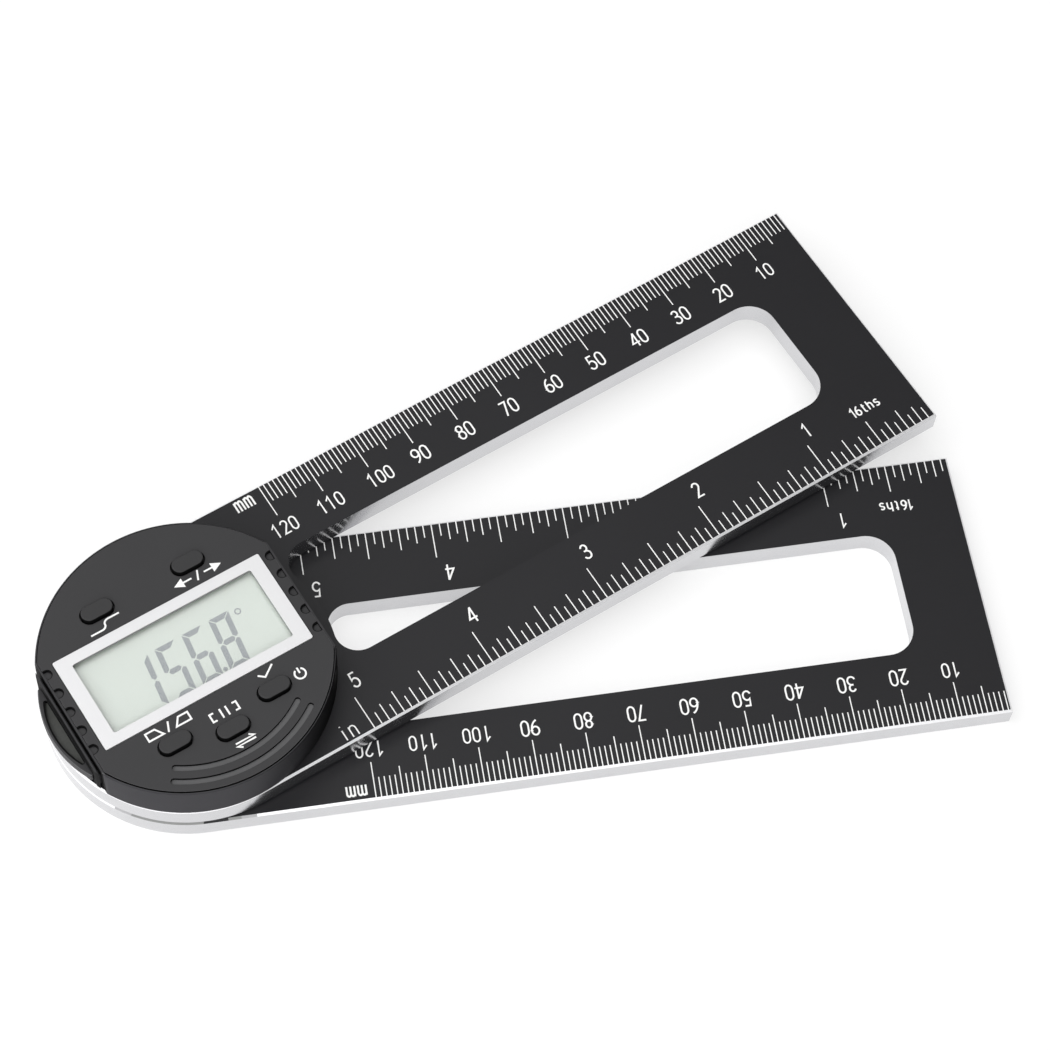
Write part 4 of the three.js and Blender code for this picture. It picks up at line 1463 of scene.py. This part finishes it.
    def _notch_cutters(self, radius: float, depth: float) -> list[bpy.types.Object]:
        """Half-round grip notches in from both flats.

        Args:
            radius: Their radius.
            depth: Their depth.

        Returns:
            The cutters.
        """
        cutters = []
        middle = Box.of("display_bezel").centre[1]
        reach = self.notch_reach + radius - self.notch_radius
        size = (reach + 2 * OVERRUN, 2 * radius)
        for side in (1, -1):
            for i in range(self.notch_count):
                y = middle + (i - (self.notch_count - 1) / 2) * self.notch_pitch
                at = (side * (self.flat - reach + size[0] / 2), y)
                cutters.append(rounded_plate("notch", at, size, radius, self.top - depth, self.above))
        return cutters


@dataclass
class Button:
    """One push button: a rounded rubber cap over a flange that keeps it in.

    Attributes:
        node: The CAD node that it stands for.
        edge: Radius of the cap's upper edge.
        flange: How far the flange reaches past the cap.
        flange_drop: The cover's top to the flange's.
        stem: Radius of the stem that pushes the switch.
    """

    node: str
    length: float = 6.2
    width: float = 3.1
    edge: float = 0.22
    flange: float = 0.9
    flange_thickness: float = 0.6
    flange_drop: float = 1.5
    stem: float = 1.1

    @property
    def at(self) -> Point:
        """The button's middle."""
        return Box.of(self.node).centre

    def build(self) -> None:
        """Models the cap, its flange and its stem."""
        box = Box.of(self.node)
        base = Box.of("top_cover").high.z - self.flange_drop - self.flange_thickness
        size = (self.length, self.width)
        cap = rounded_plate(f"{self.node}_cap", self.at, size, self.width / 2, base, box.high.z, TIP_STEPS)
        choose_edges(cap, at_height(box.high.z))
        bpy.ops.mesh.bevel(offset=self.edge * MM, segments=4, affect="EDGES", profile=0.6)
        close()
        flange = rounded_plate(
            "flange", self.at, tuple(v + 2 * self.flange for v in size), self.width / 2 + self.flange,
            base, base + self.flange_thickness, TIP_STEPS,
        )
        stem = disc("stem", self.stem, box.low.z, base + self.flange_thickness / 2, self.at, 32)
        combine(cap, "UNION", flange, stem)
        # Painted shade: near black on the cap's steep sides, which lie in shade.
        paint(cap, (RUBBER, PAINTED_SHADE), lambda middle, normal: 1 if normal.z < SLANT else 0)
        smooth(cap)
        place(cap, self.node, Slot.BUTTON, self.node)


BUTTONS = [
    Button(f"button_{where}")
    for where in ("upper_left", "upper_right", "lower_left", "lower_middle", "lower_right")
]


class Lit(Enum):
    """The seven bars of a figure, by their usual letters."""

    A = "a"
    B = "b"
    C = "c"
    D = "d"
    E = "e"
    F = "f"
    G = "g"


FIGURES = {"1": "bc", "5": "acdfg", "6": "acdefg", "8": "abcdefg"}


@dataclass
class Display:
    """The frame, window and glass, and the figures that the glass shows.

    Attributes:
        reading: The figures, with a point before the last.
        frame_end: Width of the frame at its ends.
        frame_rail: Its width along its long sides.
        seat_gap: Play round the window, at its sides and above.
        half_width: Middle of a figure to the middle line of its upright bars.
        half_height: Middle of a figure to the middle line of its top bar.
        figure_pitch: From one figure to the next.
        first_figure: The pivot axis to the first, along X.
        figure_middle: The same to the middle of the row, along Y.
        gap: Between a bar and the corner that it shares.
        shoulder: Where an upright bar's outer side ends, as a share of half its width.
        film: How far the bars stand off the glass.
        window_gap: Between the glass and the window.
        point: The point's width.
        point_rise: How far it stands above the lowest bar's middle line.
        degree_at: Middle of the last figure to the degree sign.
    """

    reading: str = "1568"
    frame_end: float = 2.9
    frame_rail: float = 2.2
    frame_corner: float = 0.35
    aperture_corner: float = 0.4
    frame_edge: float = 0.12
    seat_gap: float = 0.1
    seat_corner: float = 0.5
    half_width: float = 1.52
    half_height: float = 4.87
    figure_pitch: float = 5.6
    first_figure: float = -8.42
    figure_middle: float = -1.0
    stroke: float = 1.08
    slant: float = math.radians(7.5)
    gap: float = 0.13
    shoulder: float = 0.6
    film: float = 0.015
    window_gap: float = 0.04
    point: float = 0.85
    point_rise: float = 0.3
    degree_at: Point = (4.25, 4.3)
    degree_radius: float = 0.66
    degree_stroke: float = 0.26

    def build(self) -> None:
        """Models the frame, the window and the figures."""
        self._frame()
        self._window()
        self._figures()

    def _frame(self) -> None:
        """The light frame round the glass."""
        box, lens = Box.of("display_bezel"), Box.of("display_lens")
        low, high, under = box.low.z, box.high.z, box.low.z - OVERRUN
        bezel = rounded_plate(
            "display_frame", box.centre, box.size, self.frame_corner, low, high, CORNER_STEPS
        )
        hole = (box.size[0] - 2 * self.frame_end, box.size[1] - 2 * self.frame_rail)
        aperture = rounded_plate(
            "aperture", box.centre, hole, self.aperture_corner, under, high + OVERRUN, CORNER_STEPS
        )
        seat = rounded_plate(
            "seat", box.centre, tuple(v + 2 * self.seat_gap for v in lens.size), self.seat_corner, under,
            lens.high.z + self.seat_gap, CORNER_STEPS,
        )
        combine(bezel, "DIFFERENCE", aperture, seat)
        soften(bezel, self.frame_edge, 3, 50)

        def tone(middle: Vector, normal: Vector) -> int:
            """Painted shade in grey on the upright walls inside the opening, and silver elsewhere.

            Args:
                middle: A face's middle.
                normal: Its normal.

            Returns:
                The number of its finish.
            """
            off = middle.xy - Vector(box.centre) * MM
            inside = all(abs(off[i]) < hole[i] / 2 * MM + 10 * NEAR for i in range(2))
            return 1 if abs(normal.z) < 0.5 and inside else 0

        paint(bezel, (BEZEL, PAINTED_SHADE_GREY), tone)
        smooth(bezel)
        place(bezel, Body.UPPER.value, Slot.BEZEL, "display_bezel")

    def _window(self) -> None:
        """The clear window, just above the glass."""
        box = Box.of("display_lens")
        low = box.low.z + self.window_gap
        window = rounded_plate("display_window", box.centre, box.size, self.frame_corner, low, box.high.z)
        soften(window, self.frame_edge, 2, 50)
        dress(window, WINDOW)
        smooth(window)
        place(window, Body.UPPER.value, Slot.LENS, "display_lens")

    def _bar(self, letter: Lit, middle: float, level: float) -> bpy.types.Object:
        """One bar of a figure, with ends cut for its neighbours, leaning with the figure.

        Args:
            letter: Which bar.
            middle: The figure's middle.
            level: The glass's surface.

        Returns:
            The new object.
        """
        wide, tall, half, gap = self.half_width, self.half_height, self.stroke / 2, self.gap
        if letter in (Lit.A, Lit.D):
            points = [
                (-wide - half + gap, tall + half), (wide + half - gap, tall + half),
                (wide - half - gap, tall - half), (-wide + half + gap, tall - half),
            ]
        elif letter is Lit.G:
            inner = wide - half - gap
            points = [
                (-wide + gap * 2, 0.0), (-inner, half), (inner, half), (wide - gap * 2, 0.0), (inner, -half),
                (-inner, -half),
            ]
        else:
            points = [
                (wide + half, tall + half - gap), (wide + half, half * self.shoulder + gap), (wide, gap),
                (wide - half, half + gap), (wide - half, tall - half - gap),
            ]
        across = -1 if letter in (Lit.E, Lit.F) else 1
        upright = -1 if letter in (Lit.C, Lit.D, Lit.E) else 1
        lean = math.tan(self.slant)
        outline = [
            (middle + across * x + upright * y * lean, self.figure_middle + upright * y) for x, y in points
        ]
        return outlined("bar", outline, level, level + self.film)

    def _figures(self) -> None:
        """The reading, its point and its degree sign, on the glass."""
        level = Box.of("lcd_panel").high.z
        top = level + self.film
        pieces = []
        for i, figure in enumerate(self.reading):
            last = self.first_figure + i * self.figure_pitch
            pieces.extend(self._bar(bar, last, level) for bar in Lit if bar.value in FIGURES[figure])
        dot_at = (
            last - self.figure_pitch / 2 - self.half_height * math.tan(self.slant),
            self.figure_middle - self.half_height + self.point_rise,
        )
        pieces.append(disc("dot", self.point / 2, level, top, dot_at, 16))
        ring_at = (last + self.degree_at[0], self.figure_middle + self.degree_at[1])
        ring = disc("degree", self.degree_radius, level, top, ring_at, 32)
        inner = self.degree_radius - self.degree_stroke
        hole = disc("hole", inner, level - OVERRUN, level + OVERRUN, ring_at, 32)
        pieces.append(combine(ring, "DIFFERENCE", hole))
        figures = joined("display_figures", pieces)
        dress(figures, SEGMENT)
        place(figures, Body.UPPER.value, Slot.CRYSTAL)


@dataclass(frozen=True)
class Sign:
    """A plain sign as strokes and filled shapes about its middle.

    Attributes:
        at: Its middle.
        lines: Open strokes.
        loops: Closed strokes.
        solids: Outlines of filled shapes.
    """

    at: Point
    lines: Sequence[Sequence[Point]] = ()
    loops: Sequence[Sequence[Point]] = ()
    solids: Sequence[Sequence[Point]] = ()


def both_ways(points: Sequence[Point]) -> list[list[Point]]:
    """A line or outline and its mirror image to the left."""
    return [[(way * x, y) for x, y in points] for way in (-1, 1)]


@dataclass
class HeadMarks:
    """Plain signs printed beside the buttons.

    Attributes:
        height: The signs' height.
        ring: Outer radius of the power sign's ring.
        ring_gap: Half the angle of its gap.
    """

    thickness: float = 0.02
    height: float = 1.95
    stroke: float = 0.34
    ring: float = 1.2
    ring_gap: float = math.radians(32)

    def build(self) -> None:
        """Prints one sign for each button, and the power sign."""
        level = Box.of("top_cover").high.z
        top = level + self.thickness
        pieces = []
        for sign in self._signs():
            strokes = [(line, False) for line in sign.lines] + [(loop, True) for loop in sign.loops]
            for points, closed in strokes:
                corners, faces = ribbon(self._moved(points, sign.at), self.stroke, closed)
                flat = meshed("stroke", [(x, y, level) for x, y in corners], faces)
                pieces.append(raise_up(flat, self.thickness))
            pieces += [outlined("shape", self._moved(solid, sign.at), level, top) for solid in sign.solids]
        marks = joined("head_print", pieces)
        dress(marks, GLOWING_PRINT)
        place(marks, Body.UPPER.value, Slot.CASE)

    def _moved(self, points: Sequence[Point], at: Point) -> list[Point]:
        """The points, moved from the pivot axis to a sign's middle."""
        return [(at[0] + x, at[1] + y) for x, y in points]

    def _signs(self) -> list[Sign]:
        """The signs: a moulding's section, arrows, mitred boards, a tick, bars, half arrows and power.

        Returns:
            The signs at their places.
        """
        half = self.height / 2
        edge = half - self.stroke / 2
        slash = [(-0.4, -half), (0.4, half)]
        rise = bow((-1.0, 0.0), (1.0, edge), -90, 0, CORNER_STEPS)
        rise += bow((1.0, 0.0), (1.0, edge), 180, 90, CORNER_STEPS)[1:]
        bracket = [(1.9, edge), (2.7, edge), (2.7, -edge), (1.9, -edge)]
        swap = [(-1.9, 0.3), (1.9, 0.3), (1.0, 0.85)]
        start, end = math.pi / 2 + self.ring_gap, math.pi / 2 + 2 * math.pi - self.ring_gap
        ring = arc((0, 0), self.ring, start, end, 40) + arc((0, 0), self.ring - self.stroke, end, start, 40)
        return [
            Sign((-9.45, 12.9), [[(-3.3, -edge), *rise, (3.3, edge)]]),
            Sign(
                (9.8, 12.9), [slash, *both_ways([(1.3, 0.0), (3.05, 0.0)])],
                solids=both_ways([(4.9, 0.0), (3.0, half), (3.0, -half)]),
            ),
            Sign(
                (-9.7, -10.65), [slash],
                both_ways([(4.3, -edge), (1.3, -edge), (2.4, edge), (4.3, edge)]),
            ),
            Sign((10.5, -10.45), [[(-1.6, 0.1), (-0.5, -0.8), (1.8, 0.85)]]),
            Sign((0.3, -13.35), [*both_ways(bracket), *both_ways([(0.6, -half), (0.6, half)])]),
            Sign((0.75, -20.2), [swap, [(-x, -y) for x, y in swap]]),
            Sign((15.7, -13.9), [[(0.0, 0.1), (0.0, self.ring + 0.1)]], solids=[ring]),
        ]


@dataclass
class BatteryHolder:
    """The drawer at the head's left flat: a plate, a tray for the cell and a dished thumb tab.

    Attributes:
        plate: The plate's thickness.
        plate_gap: Between the wall and the plate.
        plate_draft: How far the plate's round edge stands inside the blade's.
        tab_radius: Radius of the tab's crest.
        dish_radius: The same of the dish's.
        tab_tip: Radius of the tab's tips.
        tab_rise: Between the blade and the tab.
        tab_edge: Radius of the tab's edges.
        rim: Width of the tab's rim at its crest.
        rim_tip: Radius of the dish's tips.
        line: Width of the painted shade that outlines the dish.
        line_depth: Its depth.
        dish_gap: Between the plate and the dish.
        edge: Twice the radius of the drawer's other edges.
        floor: The tray's thickness under the cell.
        cell_gap: Play round the cell.
        tray_wall: The tray's thickness beside the cell.
        contact_slot: Half the width of the slot for the contact.
        contact_hole: Radius of the hole under the cell.
    """

    plate: float = 0.34
    plate_gap: float = 0.5
    plate_draft: float = 0.15
    tab_radius: float = 20.8
    dish_radius: float = 16.5
    tab_tip: float = 0.4
    tab_rise: float = 1.7
    tab_thickness: float = 2.1
    tab_edge: float = 0.288
    rim: float = 0.5
    rim_tip: float = 0.45
    line: float = 0.34
    line_depth: float = 0.12
    dish_depth: float = 0.8
    dish_gap: float = 0.08
    edge: float = 0.18
    floor: float = 0.4
    cell_gap: float = 0.1
    tray_wall: float = 0.85
    contact_slot: float = 4.5
    contact_hole: float = 6.5

    def __post_init__(self) -> None:
        """Takes the main places from the CAD nodes."""
        drawer, blade = Box.of("battery_drawer"), Box.of("upper_blade")
        self.front = Box.of("case_body").high.x + self.plate_gap
        self.low, self.high = drawer.low, drawer.high
        self.reach = -drawer.low.x
        self.radius = blade.high.y - self.plate_draft
        self.tab_low = blade.high.z + self.tab_rise
        self.tab_high = self.tab_low + self.tab_thickness
        self.start = self.front + self.plate + self.dish_gap

    def build(self) -> None:
        """Models the drawer."""
        plate = disc("battery_drawer_body", self.radius, self.low.z, self.high.z)
        slice_off(plate, -self.front, 1)
        slice_off(plate, -self.front - self.plate, -1)
        above, dish_floor = self.tab_high + OVERRUN, self.tab_high - self.dish_depth
        inner = self.front + self.plate / 2
        outline = self._segment(self.tab_radius, 0, inner, self.tab_tip)
        tab = outlined("tab", outline, self.tab_low, self.tab_high)
        soften(tab, self.tab_edge, 3, 40)
        outline = self._segment(
            self.dish_radius - self.line, self.rim + self.line, self.start + self.edge / 2, self.rim_tip / 2
        )
        combine(tab, "DIFFERENCE", outlined("dish", outline, dish_floor, above))
        combine(plate, "UNION", tab, self._tray())
        soften(plate, self.edge / 2, 2, 50)
        # A shallow, wider cut round the dish, whose floor gets painted shade as its dark outline.
        outline = self._segment(self.dish_radius, self.rim, self.start, self.rim_tip)
        combine(plate, "DIFFERENCE", outlined("line", outline, self.tab_high - self.line_depth, above))
        paint(plate, (CASE, DISH, PAINTED_SHADE, GROOVE_AND_HIGHLIGHT), self._tone)
        smooth(plate)
        place(plate, Body.HOLDER.value, Slot.CASE, "battery_drawer")

    def _tone(self, middle: Vector, normal: Vector) -> int:
        """A rougher, lighter dish with an outline of painted shade, a painted highlight on the tab's upper
        edge, and painted shade on the dish's walls and the plate's sides.

        Args:
            middle: A face's middle.
            normal: Its normal.

        Returns:
            The number of its material.
        """
        floor, top = (self.tab_high - self.dish_depth) * MM, self.tab_high * MM
        back = self.front * MM
        heart = Vector((-(self.front + self.reach) / 2 * MM, 0))
        faces_in = (heart - middle.xy).dot(normal.xy) > 0
        in_dish = middle.x < -self.start * MM + NEAR and floor - NEAR < middle.z < top - 2 * NEAR
        in_plate = -back - (self.plate + self.edge) * MM < middle.x < -back + 2 * NEAR
        if in_dish and normal.z > FLAT:
            return 1 if middle.z < floor + 2 * NEAR else 2
        if in_dish and abs(normal.z) < LEVEL and faces_in or abs(normal.z) < UPRIGHT and in_plate:
            return 2
        outside = middle.z > floor and not in_plate and not faces_in
        return 3 if outside and SLANT < normal.z < LEVEL else 0

    def _segment(self, radius: float, within: float, straight: float, tip: float) -> list[Point]:
        """A segment of a circle with rounded tips, out from the head's flat.

        Args:
            radius: The crest's radius.
            within: How far the crest lies inside the tab's.
            straight: Pivot axis to the straight side.
            tip: The tips' radius.

        Returns:
            The outline.
        """
        centre = radius + within - self.reach
        half = math.sqrt((radius - tip) ** 2 - (straight + centre + tip) ** 2)
        blend = math.atan2(half, straight + centre + tip)
        return (
            arc((centre, 0), radius, math.pi - blend, math.pi + blend, ARC_STEPS)
            + arc((-straight - tip, -half), tip, math.pi + blend, 2 * math.pi, TIP_STEPS)[1:]
            + arc((-straight - tip, half), tip, 0, math.pi - blend, TIP_STEPS)[:-1]
        )

    def _tray(self) -> bpy.types.Object:
        """The tray that carries the cell.

        Returns:
            The new object.
        """
        cell = Box.of("coin_cell")
        low, high = cell.low.z, cell.high.z
        middle, radius = cell.centre[0], cell.size[0] / 2
        base, under, over = low - self.floor, low - self.floor - OVERRUN, low + OVERRUN
        left, right = -self.front - self.plate / 2, self.high.x
        width = 2 * (radius + self.cell_gap + self.tray_wall)
        tray = rounded_plate("tray", ((left + right) / 2, 0), (right - left, width), 0, base, high)
        slot_at = ((middle + right + OVERRUN) / 2, 0)
        slot_size = (right + OVERRUN - middle, 2 * self.contact_slot)
        return combine(
            tray, "DIFFERENCE", disc("pocket", radius + self.cell_gap, low, high + OVERRUN, (middle, 0)),
            disc("hole", self.contact_hole, under, over, (middle, 0), 64),
            rounded_plate("slot", slot_at, slot_size, 0, under, over),
        )


@dataclass
class Pivot:
    """The hub and its screws, as seen from below.

    Attributes:
        radius: The flange's radius.
        thickness: Its thickness.
        body_radius: Radius of the hub inside the lower blade.
        journal: Radius of what the upper blade turns on.
        screw_radius: Radius of a screw's head.
        screw_depth: Depth of its cone.
        screw_reach: Its whole length.
        screw_shank: Radius of its shank.
        screw_gap: Play round it.
        slot_share: Length of the cross, as a share of the head.
    """

    radius: float = 13.0
    thickness: float = 2.0
    body_radius: float = 8.4
    journal: float = 6.0
    edge: float = 0.15
    screw_radius: float = 1.6
    screw_depth: float = 0.8
    screw_reach: float = 4.0
    screw_shank: float = 0.8
    screw_gap: float = 0.1
    screw_edge: float = 0.05
    slot_width: float = 0.4
    slot_depth: float = 0.35
    slot_share: float = 0.62

    def build(self) -> None:
        """Models the hub's flange and each screw."""
        blade, screws = Box.of("lower_blade"), ("hub_screw_1", "hub_screw_2", "hub_screw_3")
        base = blade.low.z
        hub = disc("pivot_flange", self.radius, base, base + self.thickness)
        body = disc("body", self.body_radius, base + OVERRUN, blade.high.z)
        journal = disc("journal", self.journal, base + OVERRUN, Box.of("pivot_hub").high.z, sides=128)
        combine(hub, "UNION", body, journal)
        combine(hub, "DIFFERENCE", *(self._screw("cone", node, base, self.screw_gap) for node in screws))
        soften(hub, self.edge, 2, 60)
        dress(hub, STEEL)
        smooth(hub)
        place(hub, Body.LOWER.value, Slot.STEEL, "pivot_hub")
        long, short = 2 * self.slot_share * self.screw_radius, self.slot_width
        for node in screws:
            screw = self._screw(f"{node}_head", node, base, 0)
            for size in ((long, short), (short, long)):
                low, high = base - OVERRUN, base + self.slot_depth
                cutter = rounded_plate("cross", Box.of(node).centre, size, short / 4, low, high, 3)
                combine(screw, "DIFFERENCE", cutter)
            soften(screw, self.screw_edge, 2, 50)
            dress(screw, STEEL)
            smooth(screw)
            place(screw, Body.LOWER.value, Slot.STEEL, node)

    def _screw(self, name: str, node: str, base: float, gap: float) -> bpy.types.Object:
        """A countersunk shape that points up from its flush head.

        Args:
            name: The object's name.
            node: The screw's CAD node.
            base: The level of its head.
            gap: How much wider than the screw it is, all round.

        Returns:
            The new object.
        """
        at = Box.of(node).centre
        head, shank = self.screw_radius + gap, self.screw_shank + gap
        screw = circle(name, head, base, at, 48)
        edit(screw, everything=True)
        bpy.ops.mesh.extrude_region_move(TRANSFORM_OT_translate={"value": (0, 0, self.screw_depth * MM)})
        middle = (at[0] * MM, at[1] * MM, (base + self.screw_depth) * MM)
        bpy.ops.transform.resize(value=(shank / head, shank / head, 1), center_override=middle)
        rest = (self.screw_reach - self.screw_depth) * MM
        bpy.ops.mesh.extrude_region_move(TRANSFORM_OT_translate={"value": (0, 0, rest)})
        bpy.ops.mesh.select_all(action="SELECT")
        bpy.ops.mesh.normals_make_consistent(inside=False)
        close()
        return screw


# Studio


@dataclass
class Studio:
    """The floor, the lights and the camera.

    Attributes:
        aim: The point that the camera looks at, on the upper blade's face.
        distance: Camera to that point.
        azimuth: Direction from the aim to the camera, in degrees from +X.
        elevation: The camera's height above the blades, in degrees.
        roll: How far the camera leans, in degrees.
        lens: Focal length.
        film: Width of the frame that the focal length is for.
        nearest: What lies closer than this isn't seen.
        horizon: Strength of the surround at the horizon.
        zenith: Its strength overhead.
        fade_height: Where it reaches that, as the sine of the height.
        far_side: How much of it is left towards +X.
        side_fade: How far to each side the change reaches.
        floor_gap: The tool's underside to the floor.
        lamps: Each lamp's name, place, size and power.
    """

    aim: tuple[float, float, float] = (69.37, -6.1, 10.42)
    distance: float = 579.8
    azimuth: float = -127.655
    elevation: float = 62.39
    roll: float = 5.666
    lens: float = 105.31
    film: float = 36.0
    nearest: float = 10.0
    horizon: float = 1.15
    zenith: float = 0.8
    fade_height: float = 0.8
    far_side: float = 0.12
    side_fade: float = 0.75
    floor_size: float = 3000.0
    floor_gap: float = 0.02
    lamps: Sequence[tuple[str, tuple[float, float, float], float, float]] = (
        ("key", (-420, 330, 620), 900, 2.8),
        ("fill", (-320, -520, 560), 600, 2.4),
        ("top", (60, 60, 800), 800, 2.8),
    )

    def build(self) -> None:
        """Sets up all of it."""
        self._floor()
        self._surround()
        self._lights()
        self._camera()

    def _floor(self) -> None:
        """A plain pale floor just under the tool."""
        bpy.ops.object.select_all(action="DESELECT")
        base = CAD_BOUNDS[0][2] / MM - self.floor_gap
        bpy.ops.mesh.primitive_plane_add(size=self.floor_size * MM, location=(0, 0, base * MM))
        floor = named("floor")
        dress(floor, PAPER)

    def _surround(self) -> None:
        """A soft even surround, dimmer overhead and towards +X."""
        bpy.context.scene.view_settings.view_transform = "Standard"
        world = bpy.context.scene.world or bpy.data.worlds.new("studio")
        bpy.context.scene.world = world
        world.use_nodes = True
        tree = world.node_tree
        towards = shader(tree, "TexCoord", {}, "Generated")
        height = {
            "Value": shader(tree, "SeparateXYZ", {"Vector": towards}, "Z"), "From Max": self.fade_height,
            "To Min": self.horizon, "To Max": self.zenith,
        }
        side = {
            "Value": shader(tree, "SeparateXYZ", {"Vector": towards}, "X"), "From Min": -self.side_fade,
            "From Max": self.side_fade, "To Min": 1.0, "To Max": self.far_side,
        }
        both = {
            0: shader(tree, "MapRange", height),
            1: shader(tree, "MapRange", side, interpolation_type="SMOOTHSTEP"),
        }
        strength = shader(tree, "Math", both, operation="MULTIPLY")
        feed(tree.nodes["Background"], {"Color": (1, 1, 1, 1), "Strength": strength})

    def _lights(self) -> None:
        """Wide soft lamps above and behind, turned to the aim."""
        for name, place_at, size, power in self.lamps:
            light = bpy.data.lights.new(name, "AREA")
            light.shape = "SQUARE"
            light.size = size * MM
            light.energy = power
            lamp = bpy.data.objects.new(name, light)
            lamp.location = [v * MM for v in place_at]
            towards = Vector(self.aim) * MM - lamp.location
            lamp.rotation_euler = towards.to_track_quat("-Z", "Y").to_euler()
            bpy.context.scene.collection.objects.link(lamp)

    def _camera(self) -> None:
        """The photograph's viewpoint."""
        turn, lift = math.radians(self.azimuth), math.radians(self.elevation)
        out = Vector((math.cos(lift) * math.cos(turn), math.cos(lift) * math.sin(turn), math.sin(lift)))
        data = bpy.data.cameras.new("camera")
        data.sensor_width = self.film
        data.sensor_fit = "HORIZONTAL"
        data.lens = self.lens
        data.clip_start = self.nearest * MM
        camera = bpy.data.objects.new("camera", data)
        bpy.context.scene.collection.objects.link(camera)
        level = (-out).to_track_quat("-Z", "Y").to_matrix()
        lean = Euler((0, 0, math.radians(self.roll))).to_matrix()
        spot = Matrix.Translation((Vector(self.aim) + out * self.distance) * MM)
        camera.matrix_world = spot @ (level @ lean).to_4x4()
        bpy.context.scene.camera = camera


def main() -> None:
    """Builds the dressed tool in its studio."""
    logging.basicConfig(level=logging.INFO, format="%(name)s %(message)s")
    dress_nodes()
    # Painted shade on the lower blade's top chamfer where the upper blade's head shades it: light grey, mid
    # grey, the face's black, mid grey, light grey, then bare chamfer.
    shaded = (
        (-127, Tone.SHADED), (-120, Tone.GREY), (-92, Tone.FACE), (-82, Tone.GREY), (-77, Tone.SHADED),
        (-71, Tone.CHAMFER),
    )
    Blade(
        "lower_blade", Body.LOWER, -TURN, Side.RIGHT, 0.58, 0.54, millimetre_row=9.43, inch_row=10.47,
        inch_figure_shift=2.02, unit_at=(27.45, 25.2), unit_height=2.15, fraction_at=(138.45, 18.0),
        rim_tones=shaded, face=BLADE_BLACK_TURNED,
    ).build()
    Blade("upper_blade", Body.UPPER, 0.0, Side.LEFT, 0.33, 0.28, hundred_shift=0.97).build()
    Pivot().build()
    Casing().build()
    for button in BUTTONS:
        button.build()
    Display().build()
    HeadMarks().build()
    BatteryHolder().build()
    Studio().build()


if __name__ == "__main__":
    main()
